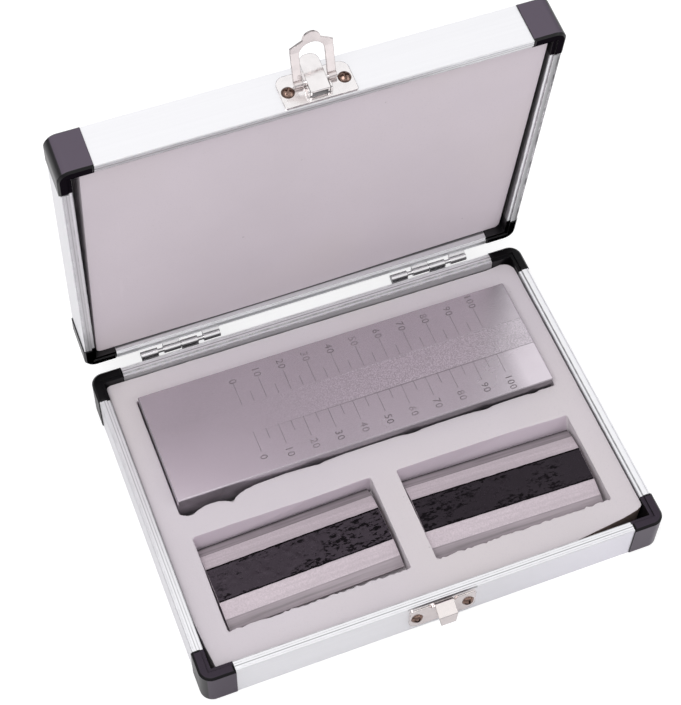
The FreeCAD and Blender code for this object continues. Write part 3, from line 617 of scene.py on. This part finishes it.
def block_finish(colour, centre, groove):
    """Finely ground steel; the groove is a little brighter and more speckled. Highlights and shade are painted on."""
    f = Finish("Ground block steel", colour, 0.3, metallic=0.85, centre=centre)
    strokes = f.strokes(1900.0, 0.45)[0]
    specks, clouds = f.grain(2200.0, 22.0)
    grit = f.math("ADD", strokes, specks)
    x, y, z = f.axes(f.place)
    start, low, high = groove
    before = f.math("LESS_THAN", y, low)
    fade = f.spread(x, start, start + 60 * MM)
    inside = f.times(f.math("GREATER_THAN", y, low), f.math("LESS_THAN", y, high))
    inside = f.times(inside, fade, clamp=True)
    plain = f.blend(f.spread(grit, 0.7, 1.3), f.tone(0.93), f.tone(1.07))
    plain = f.blend(f.times(clouds, 0.5), plain, f.tone(1.1))
    speckled = f.blend(f.spread(specks, 0.42, 0.6), f.tone(0.86), f.tone(1.34))
    body = f.blend(f.times(inside, 0.85), plain, speckled)
    # Painted shade along the front edge of the groove, growing towards the right
    line = f.times(f.spread(f.away(y, low), 0.12 * MM, 0.3 * MM, 0.75, 0.0), fade, clamp=True)
    body = f.blend(line, body, f.tone(0.45))
    smear = f.spread(f.noise(f.place, 60.0, 3.0), 0.4, 0.65)
    smear = f.times(smear, f.spread(x, 50 * MM, 85 * MM), clamp=True)
    body = f.blend(f.times(smear, 0.5), body, f.tone(1.16))
    # Painted reflection on the top near the right end, in front of the groove
    painted_highlight = f.times(before, f.spread(x, 71 * MM, 77 * MM))
    body = f.blend(f.times(painted_highlight, 0.8), body, f.tone(1.4))
    # Painted highlight towards the front left
    pale = f.times(f.spread(x, -88 * MM, -15 * MM, 1.0, 0.0), f.spread(y, -27 * MM, 8 * MM, 1.0, 0.0))
    body = f.blend(pale, body, f.tone(1.42))
    # Painted shade on the front face, darker towards the right
    front = f.times(f.spread(x, -60 * MM, 60 * MM, 0.1, 0.7), f.facing((0, -1, 0)))
    body = f.blend(front, body, f.tone(0.08))
    # Painted shade towards the bottom of the block
    body = f.blend(f.spread(z, -5 * MM, 1.5 * MM, 0.95, 0.0), body, f.tone(0.05))
    # Outer edges lighter: partly real wearing, partly a painted highlight
    rim = f.times(f.edges_wearing_and_shading(500.0), f.math("GREATER_THAN", f.math("ABSOLUTE", y), 20 * MM))
    f.colour(f.blend(f.times(rim, 0.25), body, f.tone(1.4)))
    f.roughness(f.math("SUBTRACT", f.spread(clouds, 0.0, 1.0, 0.21, 0.28), f.times(smear, 0.1)))
    f.bump(grit, 0.15, 0.02 * MM, f.soft_edges(0.2 * MM))
    return f.material


def scraper_finish(name, colour, centre, turn):
    """Coarsely ground slopes with short strokes, and edges with long streaks, darkened by painted shade."""
    f = Finish(name, colour, 0.5, metallic=0.25, turn=(0, 0, turn), centre=centre)
    strokes, wide = f.strokes(700.0, 0.03)
    specks, clouds = f.grain(1500.0, 60.0)
    x, y, z = f.axes(f.place)
    lines = f.spread(strokes, 0.36, 0.64)
    wide = f.spread(wide, 0.35, 0.65)
    slope = f.blend(f.spread(specks, 0.35, 0.65), f.tone(0.85), f.tone(1.09))
    slope = f.blend(f.times(f.times(lines, wide), 0.8), slope, f.tone(0.76))
    # Painted shade on the steep edge bevels, with real streaks
    edge = f.blend(f.times(f.math("ADD", lines, wide), 0.5), f.tone(0.24), f.tone(0.68))
    body = f.blend(f.spread(f.math("ABSOLUTE", y), CREASE - 0.1 * MM, CREASE + 0.1 * MM), slope, edge)
    body = f.blend(f.times(clouds, 0.25), body, f.tone(0.8))
    # Painted shade in the crease between slope and edge bevel
    line = f.spread(f.away(y, CREASE), 0.12 * MM, 0.3 * MM, 0.5, 0.0)
    body = f.blend(line, body, f.tone(0.15))
    # Edges lighter: partly real wearing, partly a painted highlight
    body = f.blend(f.times(f.edges_wearing_and_shading(400.0), 0.4), body, f.tone(1.4))
    # Painted shadow along the rear edge, against the pocket wall
    f.colour(f.blend(f.spread(y, 18.6 * MM, 19.6 * MM, 0.0, 0.9), body, f.tone(0.06)))
    f.roughness(f.spread(strokes, 0.3, 0.7, 0.5, 0.62))
    f.bump(strokes, 0.25, 0.04 * MM, f.soft_edges(0.12 * MM))
    return f.material


def strip_finish(name, colour, centre, turn, gloss, lean):
    """Glossy black film with small wrinkles, more of them towards one end and along its edges."""
    f = Finish(name, colour, 0.3, turn=(0, 0, turn), centre=centre)
    specks, clouds = f.grain(500.0, 70.0)
    x, y, z = f.axes(f.place)
    side = f.math("ABSOLUTE", y)
    patch = f.spread(x, -40 * MM * lean, 40 * MM * lean, -0.6, 0.5)
    patch = f.math("ADD", patch, f.spread(clouds, 0.25, 0.85), clamp=True)
    patch = f.math("ADD", patch, f.spread(side, 5 * MM, 8 * MM, 0.0, 0.5), clamp=True)
    spots = f.times(f.spread(f.strokes(850.0, 0.4)[0], 0.53, 0.57), patch)
    spots = f.math("ADD", spots, f.spread(side, 7.3 * MM, 7.7 * MM), clamp=True)
    f.colour(f.blend(clouds, f.tone(0.8), f.tone(1.6)))
    f.roughness(f.spread(specks, 0.3, 0.7, 0.24, 0.36))
    f.join(f.spread(spots, 0.1, 0.6, gloss, 0.0), f.shader.inputs["Specular IOR Level"])
    f.shader.inputs["Specular Tint"].default_value = (1.0, 0.8, 1.0, 1.0)
    f.bump(f.math("SUBTRACT", f.times(specks, 0.3), spots), 0.8, 0.2 * MM)
    return f.material


def plated_finish(name, colour, roughness, dirt, under=0.0):
    """Plated sheet or turned metal with slight clouding, painted shade on its edges and, by the share under, on faces
    to the front.
    """
    f = Finish(name, colour, roughness, metallic=1.0)
    specks, clouds = f.grain(1600.0, 220.0)
    body = f.blend(f.times(clouds, dirt), f.tone(1.03), f.tone(0.62))
    # Painted shade on faces turned to the front, by the share under
    body = f.blend(f.spread(f.facing((0, -1, 0)), 0.8, 0.97, 0.0, under), body, f.tone(0.15))
    # Painted shade on the edges
    f.colour(f.blend(f.times(f.edges_wearing_and_shading(600.0), 1.5, clamp=True), body, f.tone(0.2)))
    f.roughness(f.spread(clouds, 0.0, 1.0, roughness * 0.8, roughness * 1.3))
    f.bump(specks, 0.12, 0.03 * MM, f.soft_edges(0.25 * MM))
    return f.material


def mark_finish(colour):
    """Dull filled engraving with lighter patches where the filling has gone."""
    f = Finish("Engraved marks", colour, 0.6)
    specks, clouds = f.grain(2500.0, 160.0)
    f.colour(f.blend(clouds, f.tone(0.9), f.tone(2.1)))
    f.bump(specks, 0.2, 0.02 * MM)
    return f.material


def dress(material, *starts):
    """Give one material to every CAD node whose name starts in one of these ways."""
    for name in NODES:
        if name.startswith(starts):
            piece = frame["nodes"][name]
            piece.data.materials.clear()
            piece.data.materials.append(material)


def liner_line(side):
    """Direction and level of the line where the liner meets the inner wall of a lid rail."""
    lean, height = LINER_LINES[side]
    upward = Vector((0, 0, 1)) - Vector(lean)
    middle = sum(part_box("base_floor_panel"), Vector()) / 2
    level = height * MM - Vector(lean).dot(middle) - LID_TURN.inverted().translation.dot(upward)
    return LID_TURN.to_3x3() @ upward, level


# Operators


class GAUGE_OT_finishes(bpy.types.Operator):
    bl_idname = "gauge.finishes"
    bl_label = "Finishes"

    def execute(self, context):
        colours = context.scene.kit_colours
        grain_group()
        stroke_group()
        edge_group()
        facing_group()
        low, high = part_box("catch_plate")
        # Painted shadow above the catch plate: its middle, its height and half its length
        catch_shadow = ((low.x + high.x) / 2, high.z + 0.1 * MM, (high.x - low.x) / 2)
        for part, placed, up in (("base", Matrix(), 1), ("lid", LID_TURN, -1)):
            turned = placed.to_3x3()
            rim = turned @ Vector((0, 0, up))
            for side, inward in INWARD.items():
                name = "%s_rail_%s" % (part, side)
                inward = turned @ Vector(inward)
                start = min(point.co.dot(inward) for point in frame["nodes"][name].data.vertices)
                turn = (0, LID_ANGLE if part == "lid" else 0, math.pi / 2) if side in ("left", "right") else (0, 0, 0)
                metal = rail_finish("Rail, %s %s" % (part, side), colours.rail, turn, rim, inward, start,
                                    RAIL_LOOKS[name], liner_line(side) if part == "lid" else None,
                                    catch_shadow if name == "base_rail_front" else None)
                dress(metal, name)
            rubbed_and_sheen, rim_shade, gloss = CORNER_LOOKS[part]
            # Front corners get a scuffed front with painted sheen; all corners get painted shade on their rims
            for end, front_face_tone in (("front", shade(colours.rubbed_and_sheen, rubbed_and_sheen)), ("rear", shade(colours.corner, 1.0))):
                corners = "%s_corner_%s" % (part, end)
                moulding = corner_finish("Black moulding, %s %s" % (part, end), colours.corner, front_face_tone,
                                         shade(front_face_tone, rim_shade), gloss, rim, turned @ Vector((0, -1, 0)))
                dress(moulding, corners)
        dress(panel_finish(colours.panel), "base_floor_panel", "lid_top_panel")
        low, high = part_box("gauge_block")
        middle = (low + high) / 2
        groove = (low.x - middle.x + context.scene.kit_sizes.scale_margin, *GROOVE_SIDES)
        dress(block_finish(colours.block, middle, groove), "gauge_block")
        for side, angle in SCRAPER_TURNS.items():
            low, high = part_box("scraper_" + side)
            steel = scraper_finish("Scraper steel, " + side, colours.scraper, (low + high) / 2, math.radians(angle))
            dress(steel, "scraper_" + side)
        dress(plated_finish("Nickel plate", colours.nickel, 0.14, 0.2), "latch_", "lever_", "loop_")
        dress(plated_finish("Catch plate", colours.catch, 0.14, 0.2), "catch_plate")
        dress(plated_finish("Loop plate", colours.loop, 0.16, 0.25), "latch_loop")
        dress(plated_finish("Hinge plate", colours.hinge, 0.1, 0.3, 0.8), "hinge_")
        dress(plated_finish("Brown screw", colours.screw, 0.2, 0.6), "latch_screw", "catch_screw")
        return {"FINISHED"}


class GAUGE_OT_foam(bpy.types.Operator):
    """Cut the foam bed of the base with its three pockets"""

    bl_idname = "gauge.foam"
    bl_label = "Foam bed"

    def execute(self, context):
        sizes = context.scene.kit_sizes
        low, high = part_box("foam_insert")
        block_low, block_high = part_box("gauge_block")
        play = 0.85 * MM
        floor = block_low.z - 0.25 * MM
        top = high.z
        above = top + 5 * MM
        bed = add_box("foam_bed", low, high)
        upright_edges(bed, (high.x, high.y), 6 * MM, 6)
        upright_edges(bed, (low.x, high.y), 2 * MM, 2)
        upright_edges(bed, (high.x, low.y), 2.5 * MM, 2)

        # The front edge of the block's pocket is scalloped, as cut by hand
        def scalloped(x):
            x = x / MM
            for (left, first), (right, last) in zip(POCKET_EDGE, POCKET_EDGE[1:]):
                if x <= right:
                    break
            share = (x - left) / (right - left)
            return block_low.y - (first + (last - first) * share) * MM

        cut(bed, prism("pocket", scalloped, block_high.y + play, block_low.x - 0.6 * play, block_high.x + play,
                       floor, above, 300))
        torn = []
        for side, angle in SCRAPER_TURNS.items():
            centre = sum(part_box("scraper_" + side), Vector()) / 2
            shift_x, shift_y = POCKET_SHIFT[side]
            left = centre.x + (shift_x - POCKET_HALF[0]) * MM
            right = centre.x + (shift_x + POCKET_HALF[0]) * MM
            middle = centre.y + shift_y * MM
            near, back = middle - POCKET_HALF[1] * MM, middle + POCKET_HALF[1] * MM
            pocket = add_box("pocket", (left, near, floor), (right, back, above))
            round_corners(pocket, (left, near), (right, back), 0.5 * MM, 1)
            # The rear wall leans down to the back of the scraper
            slope = math.tan(math.radians(angle))
            for point in pocket.data.vertices:
                if point.co.z < top and point.co.y > middle:
                    back_edge = centre.y + 20.6 * MM + (point.co.x - centre.x) * slope
                    point.co.y += (back_edge - back) * (above - floor) / (top - floor) * 0.72
            cut(bed, pocket)
            torn.append(near)
        remesh(bed, sizes.foam_cell, 0.3)
        # The top lies a little higher at the rear left and lower at the rear right
        for point in bed.data.vertices:
            across = (point.co.x - low.x) / (high.x - low.x)
            back = (point.co.y - low.y) / (high.y - low.y)
            share = max(0.0, (point.co.z - floor) / (top - floor))
            # The left side draws away from the frame towards the front
            draw = max(0.0, (-50 * MM - point.co.y) / (-50 * MM - low.y)) ** 1.5
            point.co.x += draw * max(0.0, 1 - (point.co.x - low.x) / (9 * MM)) * FOAM_DRAW
            # The front edge leaves the frame towards the right corner
            draw = max(0.0, point.co.x - 55 * MM) / (high.x - 55 * MM)
            point.co.y += draw * max(0.0, 1 - (point.co.y - low.y) / (12 * MM)) * FOAM_GAP
            ragged = noise.noise(point.co * 640) * 0.5 * MM * share
            for line in torn:
                if abs(point.co.y - line) < 1.3 * MM and point.co.z > floor:
                    point.co.y += ragged + 0.35 * MM * share
            tilt = (1.0 - 2.2 * across) * back * MM
            # The right side is pushed up against the frame
            tilt += FOAM_RISE * max(0.0, 1 - (high.x - point.co.x) / (12 * MM)) ** 1.5
            wave = noise.noise(point.co * 22) * sizes.foam_sag + noise.noise(point.co * 90) * 0.12 * MM
            point.co.z += share * (tilt + wave)
            if share < 1:
                point.co.x += noise.noise(point.co * 160) * 0.12 * MM
                point.co.y += noise.noise(point.co * 160 + Vector((9, 2, 5))) * 0.12 * MM
        smooth(bed, 50)
        # Left side, front side and pocket floor of the bed, where its painted shade goes
        foam = foam_finish("Foam bed", context.scene.kit_colours.foam,
                           bed=(low.x, low.y + 9 * MM, block_low.z))
        finish_piece(bed, "base", foam, ["foam_insert"])
        return {"FINISHED"}


class GAUGE_OT_liner(bpy.types.Operator):
    """Make the foam liner of the lid"""

    bl_idname = "gauge.liner"
    bl_label = "Lid liner"

    def execute(self, context):
        sizes = context.scene.kit_sizes
        # Drawn as with the lid shut, about the middle of the case, then turned back with the lid
        centre = sum(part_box("base_floor_panel"), Vector()) / 2
        wide, deep = LINER_HALF
        low = Vector((centre.x - wide * MM, centre.y - deep * MM, LINER_HEIGHTS[0] * MM))
        high = Vector((centre.x + wide * MM, centre.y + deep * MM, LINER_HEIGHTS[1] * MM))
        liner = add_box("lid_pad", low, high)
        round_corners(liner, low, high, 2.5 * MM, 3)
        remesh(liner, 2 * sizes.foam_cell, 0.6)
        for point in liner.data.vertices:
            across = (point.co.x - low.x) / (high.x - low.x)
            back = (point.co.y - low.y) / (high.y - low.y)
            share = max(0.0, 1 - (point.co.z - low.z) / (high.z - low.z))
            recess = (1.0 + 1.6 * across * back + 0.4 * (1 - across)) * MM
            wave = noise.noise(point.co * 14 + Vector((3, 1, 0))) * 0.7 * MM
            point.co.z += share * (recess + wave)
            # The left side stands off the frame towards the front
            point.co.x += (2.2 - 2.8 * back) * MM * max(0.0, 1 - (point.co.x - low.x) / (25 * MM))
        liner.data.transform(LID_TURN)
        smooth(liner, 50)
        foam = foam_finish("Lid foam", context.scene.kit_colours.liner, (0, LID_ANGLE, math.pi / 2))
        finish_piece(liner, "lid", foam, ["lid_liner"])
        return {"FINISHED"}


class GAUGE_OT_marks(bpy.types.Operator):
    """Engrave the marks and the plain numbers of the scale"""

    bl_idname = "gauge.marks"
    bl_label = "Scale marks"

    def execute(self, context):
        sizes = context.scene.kit_sizes
        low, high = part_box("gauge_block")
        middle = (low + high) / 2
        zero = low.x + sizes.scale_margin
        under, over = high.z - sizes.mark_depth / 2, high.z + sizes.mark_depth / 2
        made = []
        for step in range(SCALE_STEPS + 1):
            x = zero + sizes.scale_length * step / SCALE_STEPS
            for way, inner, outer, gap in SCALE_ROWS:
                reach = outer if step % 2 == 0 else inner + SHORT_MARK
                ends = sorted((middle.y + way * inner * MM, middle.y + way * reach * MM))
                half = sizes.mark_width / 2
                made.append(add_box("mark", (x - half, ends[0], under), (x + half, ends[1], over)))
                if step % 2:
                    continue
                deselect()
                bpy.ops.object.text_add(location=(0, 0, 0))
                number = context.view_layer.objects.active
                number.data.body = str(step * 5)
                number.data.size = sizes.number_height / DIGIT_SHARE
                number.data.extrude = sizes.mark_depth / 2
                number.data.space_character = 1.15
                number.data.resolution_u = 3
                number.data.align_x = "RIGHT" if way > 0 else "LEFT"
                number.data.align_y = "CENTER"
                bpy.ops.object.convert(target="MESH")
                number = context.view_layer.objects.active
                number.location = (x, middle.y + way * (outer + gap) * MM, high.z)
                number.rotation_euler = (0, 0, -math.pi / 2)
                made.append(named("number"))
        marks = join(made, "scale_marks")
        finish_piece(marks, "base", mark_finish(context.scene.kit_colours.mark))
        return {"FINISHED"}


class GAUGE_OT_strips(bpy.types.Operator):
    """Lay the wrinkled dark strip along the flat of each scraper"""

    bl_idname = "gauge.strips"
    bl_label = "Scraper strips"

    def execute(self, context):
        sizes = context.scene.kit_sizes
        for side, angle in SCRAPER_TURNS.items():
            low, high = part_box("scraper_" + side)
            centre = (low + high) / 2
            gloss, lean, seed = STRIP_LOOKS[side]
            film = strip_finish("Black film, " + side, context.scene.kit_colours.strip, centre,
                                math.radians(angle), gloss, lean)
            deselect()
            bpy.ops.mesh.primitive_grid_add(x_subdivisions=190, y_subdivisions=38, size=1)
            strip = named("strip_" + side)
            for point in strip.data.vertices:
                x, y = point.co.x, point.co.y
                place = Vector((x * STRIP_LENGTH, y * sizes.strip_width, 0))
                edge = abs(y) * 2
                ragged = noise.noise(place * 260 + seed) * 0.15 * MM * (edge ** 8)
                wrinkle = noise.turbulence(place * 210 + seed, 3, False, noise_basis="PERLIN_ORIGINAL")
                rise = sizes.strip_lift + (wrinkle - 0.35) * 0.28 * MM * (1 - edge ** 10)
                point.co = Vector((place.x, place.y + ragged, max(0.04 * MM, rise)))
            use_modifier(strip, "SOLIDIFY", thickness=0.05 * MM, offset=1.0)
            strip.data.transform(
                Matrix.Translation((centre.x, centre.y, high.z)) @ Matrix.Rotation(math.radians(angle), 4, "Z"))
            smooth(strip, 60)
            finish_piece(strip, "base", film)
        return {"FINISHED"}


class GAUGE_OT_rivets(bpy.types.Operator):
    """Set the rivets of the hinge leaves"""

    bl_idname = "gauge.rivets"
    bl_label = "Hinge rivets"

    def execute(self, context):
        sizes = context.scene.kit_sizes
        metal = bpy.data.materials["Hinge plate"]
        for side in ("left", "right"):
            low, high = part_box("hinge_%s_pin" % side)
            for leaf in ("base", "lid"):
                made = []
                for step in range(sizes.rivets):
                    x = low.x + (high.x - low.x) * (step + 0.5) / sizes.rivets
                    deselect()
                    bpy.ops.mesh.primitive_uv_sphere_add(
                        segments=20, ring_count=10, radius=sizes.rivet_radius,
                        location=(x, HINGE_LINE.y + RIVET_PLACE[0], HINGE_LINE.z + RIVET_PLACE[1]),
                        scale=(1, 0.45, 1))
                    made.append(named("rivet"))
                rivets = join(made, "rivets_%s_%s" % (side, leaf))
                if leaf == "lid":
                    # Half a turn about the line from front to rear through the middle of the pin
                    pin = Vector(((low.x + high.x) / 2, HINGE_LINE.y, HINGE_LINE.z))
                    mirror = Matrix.Translation(pin) @ Matrix.Rotation(math.pi, 4, "Y") @ Matrix.Translation(-pin)
                    rivets.data.transform(LID_TURN @ mirror)
                smooth(rivets, 60)
                finish_piece(rivets, leaf, metal)
        return {"FINISHED"}


class GAUGE_OT_screws(bpy.types.Operator):
    """Turn the domed screws of the latch and the catch and cut their cross recesses"""

    bl_idname = "gauge.screws"
    bl_label = "Screws"

    def execute(self, context):
        metal = bpy.data.materials["Brown screw"]
        for name in [node for node in NODES if "_screw_" in node]:
            on_lid = name.startswith("latch")
            back = LID_TURN.inverted() if on_lid else Matrix()
            corners = [back @ vertex.co for vertex in frame["nodes"][name].data.vertices]
            low = Vector([min(corner[axis] for corner in corners) for axis in range(3)])
            high = Vector([max(corner[axis] for corner in corners) for axis in range(3)])
            radius = (high.x - low.x) / 2
            sphere = (radius * radius + DOME_RISE * DOME_RISE) / (2 * DOME_RISE)
            deselect()
            bpy.ops.mesh.primitive_uv_sphere_add(
                segments=48, ring_count=48, radius=sphere, location=(0, 0, DOME_RISE - sphere))
            head = named("screw_head")
            far = 4 * radius
            cut(head, add_box("below", (-far, -far, -far), (far, far, 0)))
            for wide, deep in RECESS_ARMS:
                cut(head, add_box("recess", (-wide * MM, -deep * MM, 0.3 * DOME_RISE),
                                  (wide * MM, deep * MM, 2 * DOME_RISE)))
            reach = high.y - low.y - DOME_RISE
            shank = add_cylinder("shank", radius * 0.44, reach, (0, 0, -reach / 2), sides=24)
            screw = join([head, shank], name + "_domed")
            twist = Matrix.Rotation(math.radians(20 + 25 * len(name)), 4, "Z")
            seat = Matrix.Translation(((low.x + high.x) / 2, low.y + DOME_RISE, (low.z + high.z) / 2))
            upright = Matrix.Rotation(math.pi / 2, 4, "X")
            screw.data.transform((LID_TURN if on_lid else Matrix()) @ seat @ upright @ twist)
            smooth(screw, 40)
            finish_piece(screw, "lid" if on_lid else "base", metal, [name])
        return {"FINISHED"}


def lamp(name, place, target, size, power, colour=(1, 1, 1)):
    deselect()
    bpy.ops.object.light_add(type="AREA", location=place)
    light = bpy.context.view_layer.objects.active
    light.name = name
    light.data.shape = "SQUARE"
    light.data.size = size
    light.data.energy = power
    light.data.color = colour
    light.rotation_euler = (Vector(target) - Vector(place)).to_track_quat("-Z", "Y").to_euler()


class GAUGE_OT_stage(bpy.types.Operator):
    """Set the pale floor, the soft lights, the sky and the camera"""

    bl_idname = "gauge.stage"
    bl_label = "Stage"

    def execute(self, context):
        deselect()
        bpy.ops.mesh.primitive_plane_add(size=12, location=(0, 0, -0.02 * MM))
        floor = named("floor")
        pale = Finish("Pale floor", (1, 1, 1), 0.9)
        pale.shader.inputs["Specular IOR Level"].default_value = 0.1
        pale.shader.inputs["Emission Color"].default_value = (1, 1, 1, 1)
        rays = pale.add("ShaderNodeLightPath").outputs
        soft = pale.blend(pale.noise(pale.place, 3.0, 2.0), (0.90, 0.90, 0.905), (0.92, 0.92, 0.92))
        tone = pale.blend(rays["Is Glossy Ray"], soft, (0.64, 0.635, 0.65))
        pale.colour(pale.blend(rays["Is Camera Ray"], tone, (0.5, 0.5, 0.505)))
        # Reflections see a brighter floor beside the case
        x, y, z = pale.axes(pale.place)
        sides = pale.math("ADD", pale.spread(x, 0.03, 0.1, 0.0, 0.4), pale.spread(x, -0.09, -0.115, 0.0, 0.35))
        mirrored = pale.times(rays["Is Glossy Ray"], sides)
        seen = pale.times(rays["Is Camera Ray"], 0.62)
        pale.join(pale.math("ADD", seen, mirrored), pale.shader.inputs["Emission Strength"])
        floor.data.materials.append(pale.material)

        world = bpy.data.worlds.new("Studio")
        context.scene.world = world
        world.use_nodes = True
        sky = Graph(world.node_tree)
        background = world.node_tree.nodes["Background"]
        x, y, z = sky.axes(sky.add("ShaderNodeTexCoord").outputs["Generated"])
        soft = sky.blend(sky.spread(z, -0.2, 0.9), (0.62, 0.615, 0.625), (0.78, 0.78, 0.78))
        # Reflections see a bright ceiling over darker walls
        mirrored = sky.blend(sky.spread(z, 0.12, 0.65), (0.17, 0.165, 0.175), (1.02, 1.02, 1.03))
        rays = sky.add("ShaderNodeLightPath").outputs
        tone = sky.blend(rays["Is Glossy Ray"], soft, mirrored)
        sky.join(sky.blend(rays["Is Camera Ray"], tone, (1.0, 1.0, 1.0)), background.inputs["Color"])

        lamp("Key", (-0.5, -0.35, 1.3), (0, 0, 0.05), 0.9, 9.0, (1.0, 0.985, 0.99))
        lamp("Fill", (0.9, -0.7, 0.7), (0, 0, 0.05), 0.8, 2.5)

        deselect()
        bpy.ops.object.camera_add(
            location=CAMERA_PLACE, rotation=[math.radians(angle) for angle in CAMERA_TURN])
        camera = context.view_layer.objects.active
        camera.data.lens = CAMERA_LENS
        camera.data.sensor_width = 36
        camera.data.clip_start = 0.01
        context.scene.camera = camera
        context.scene.view_settings.view_transform = "Standard"
        return {"FINISHED"}


OPERATORS = (
    GAUGE_OT_stage, GAUGE_OT_finishes, GAUGE_OT_foam, GAUGE_OT_liner, GAUGE_OT_marks, GAUGE_OT_strips,
    GAUGE_OT_rivets, GAUGE_OT_screws,
)


class GAUGE_PT_kit(bpy.types.Panel):
    bl_idname = "GAUGE_PT_kit"
    bl_label = "Gauge kit"
    bl_space_type = "VIEW_3D"
    bl_region_type = "UI"
    bl_category = "Gauge kit"

    def draw(self, context):
        for settings in (context.scene.kit_sizes, context.scene.kit_colours):
            for name in settings.__annotations__:
                self.layout.prop(settings, name)
        for operator in OPERATORS:
            self.layout.operator(operator.bl_idname)


CLASSES = (KitSizes, KitColours, *OPERATORS, GAUGE_PT_kit)


def register():
    for item in CLASSES:
        bpy.utils.register_class(item)
    bpy.types.Scene.kit_sizes = PointerProperty(type=KitSizes)
    bpy.types.Scene.kit_colours = PointerProperty(type=KitColours)


def unregister():
    del bpy.types.Scene.kit_colours
    del bpy.types.Scene.kit_sizes
    for item in reversed(CLASSES):
        bpy.utils.unregister_class(item)


def main():
    register()
    bpy.ops.gauge.stage()
    bpy.ops.gauge.finishes()
    bpy.ops.gauge.foam()
    bpy.ops.gauge.liner()
    bpy.ops.gauge.marks()
    bpy.ops.gauge.strips()
    bpy.ops.gauge.rivets()
    bpy.ops.gauge.screws()


if __name__ == "__main__":
    main()
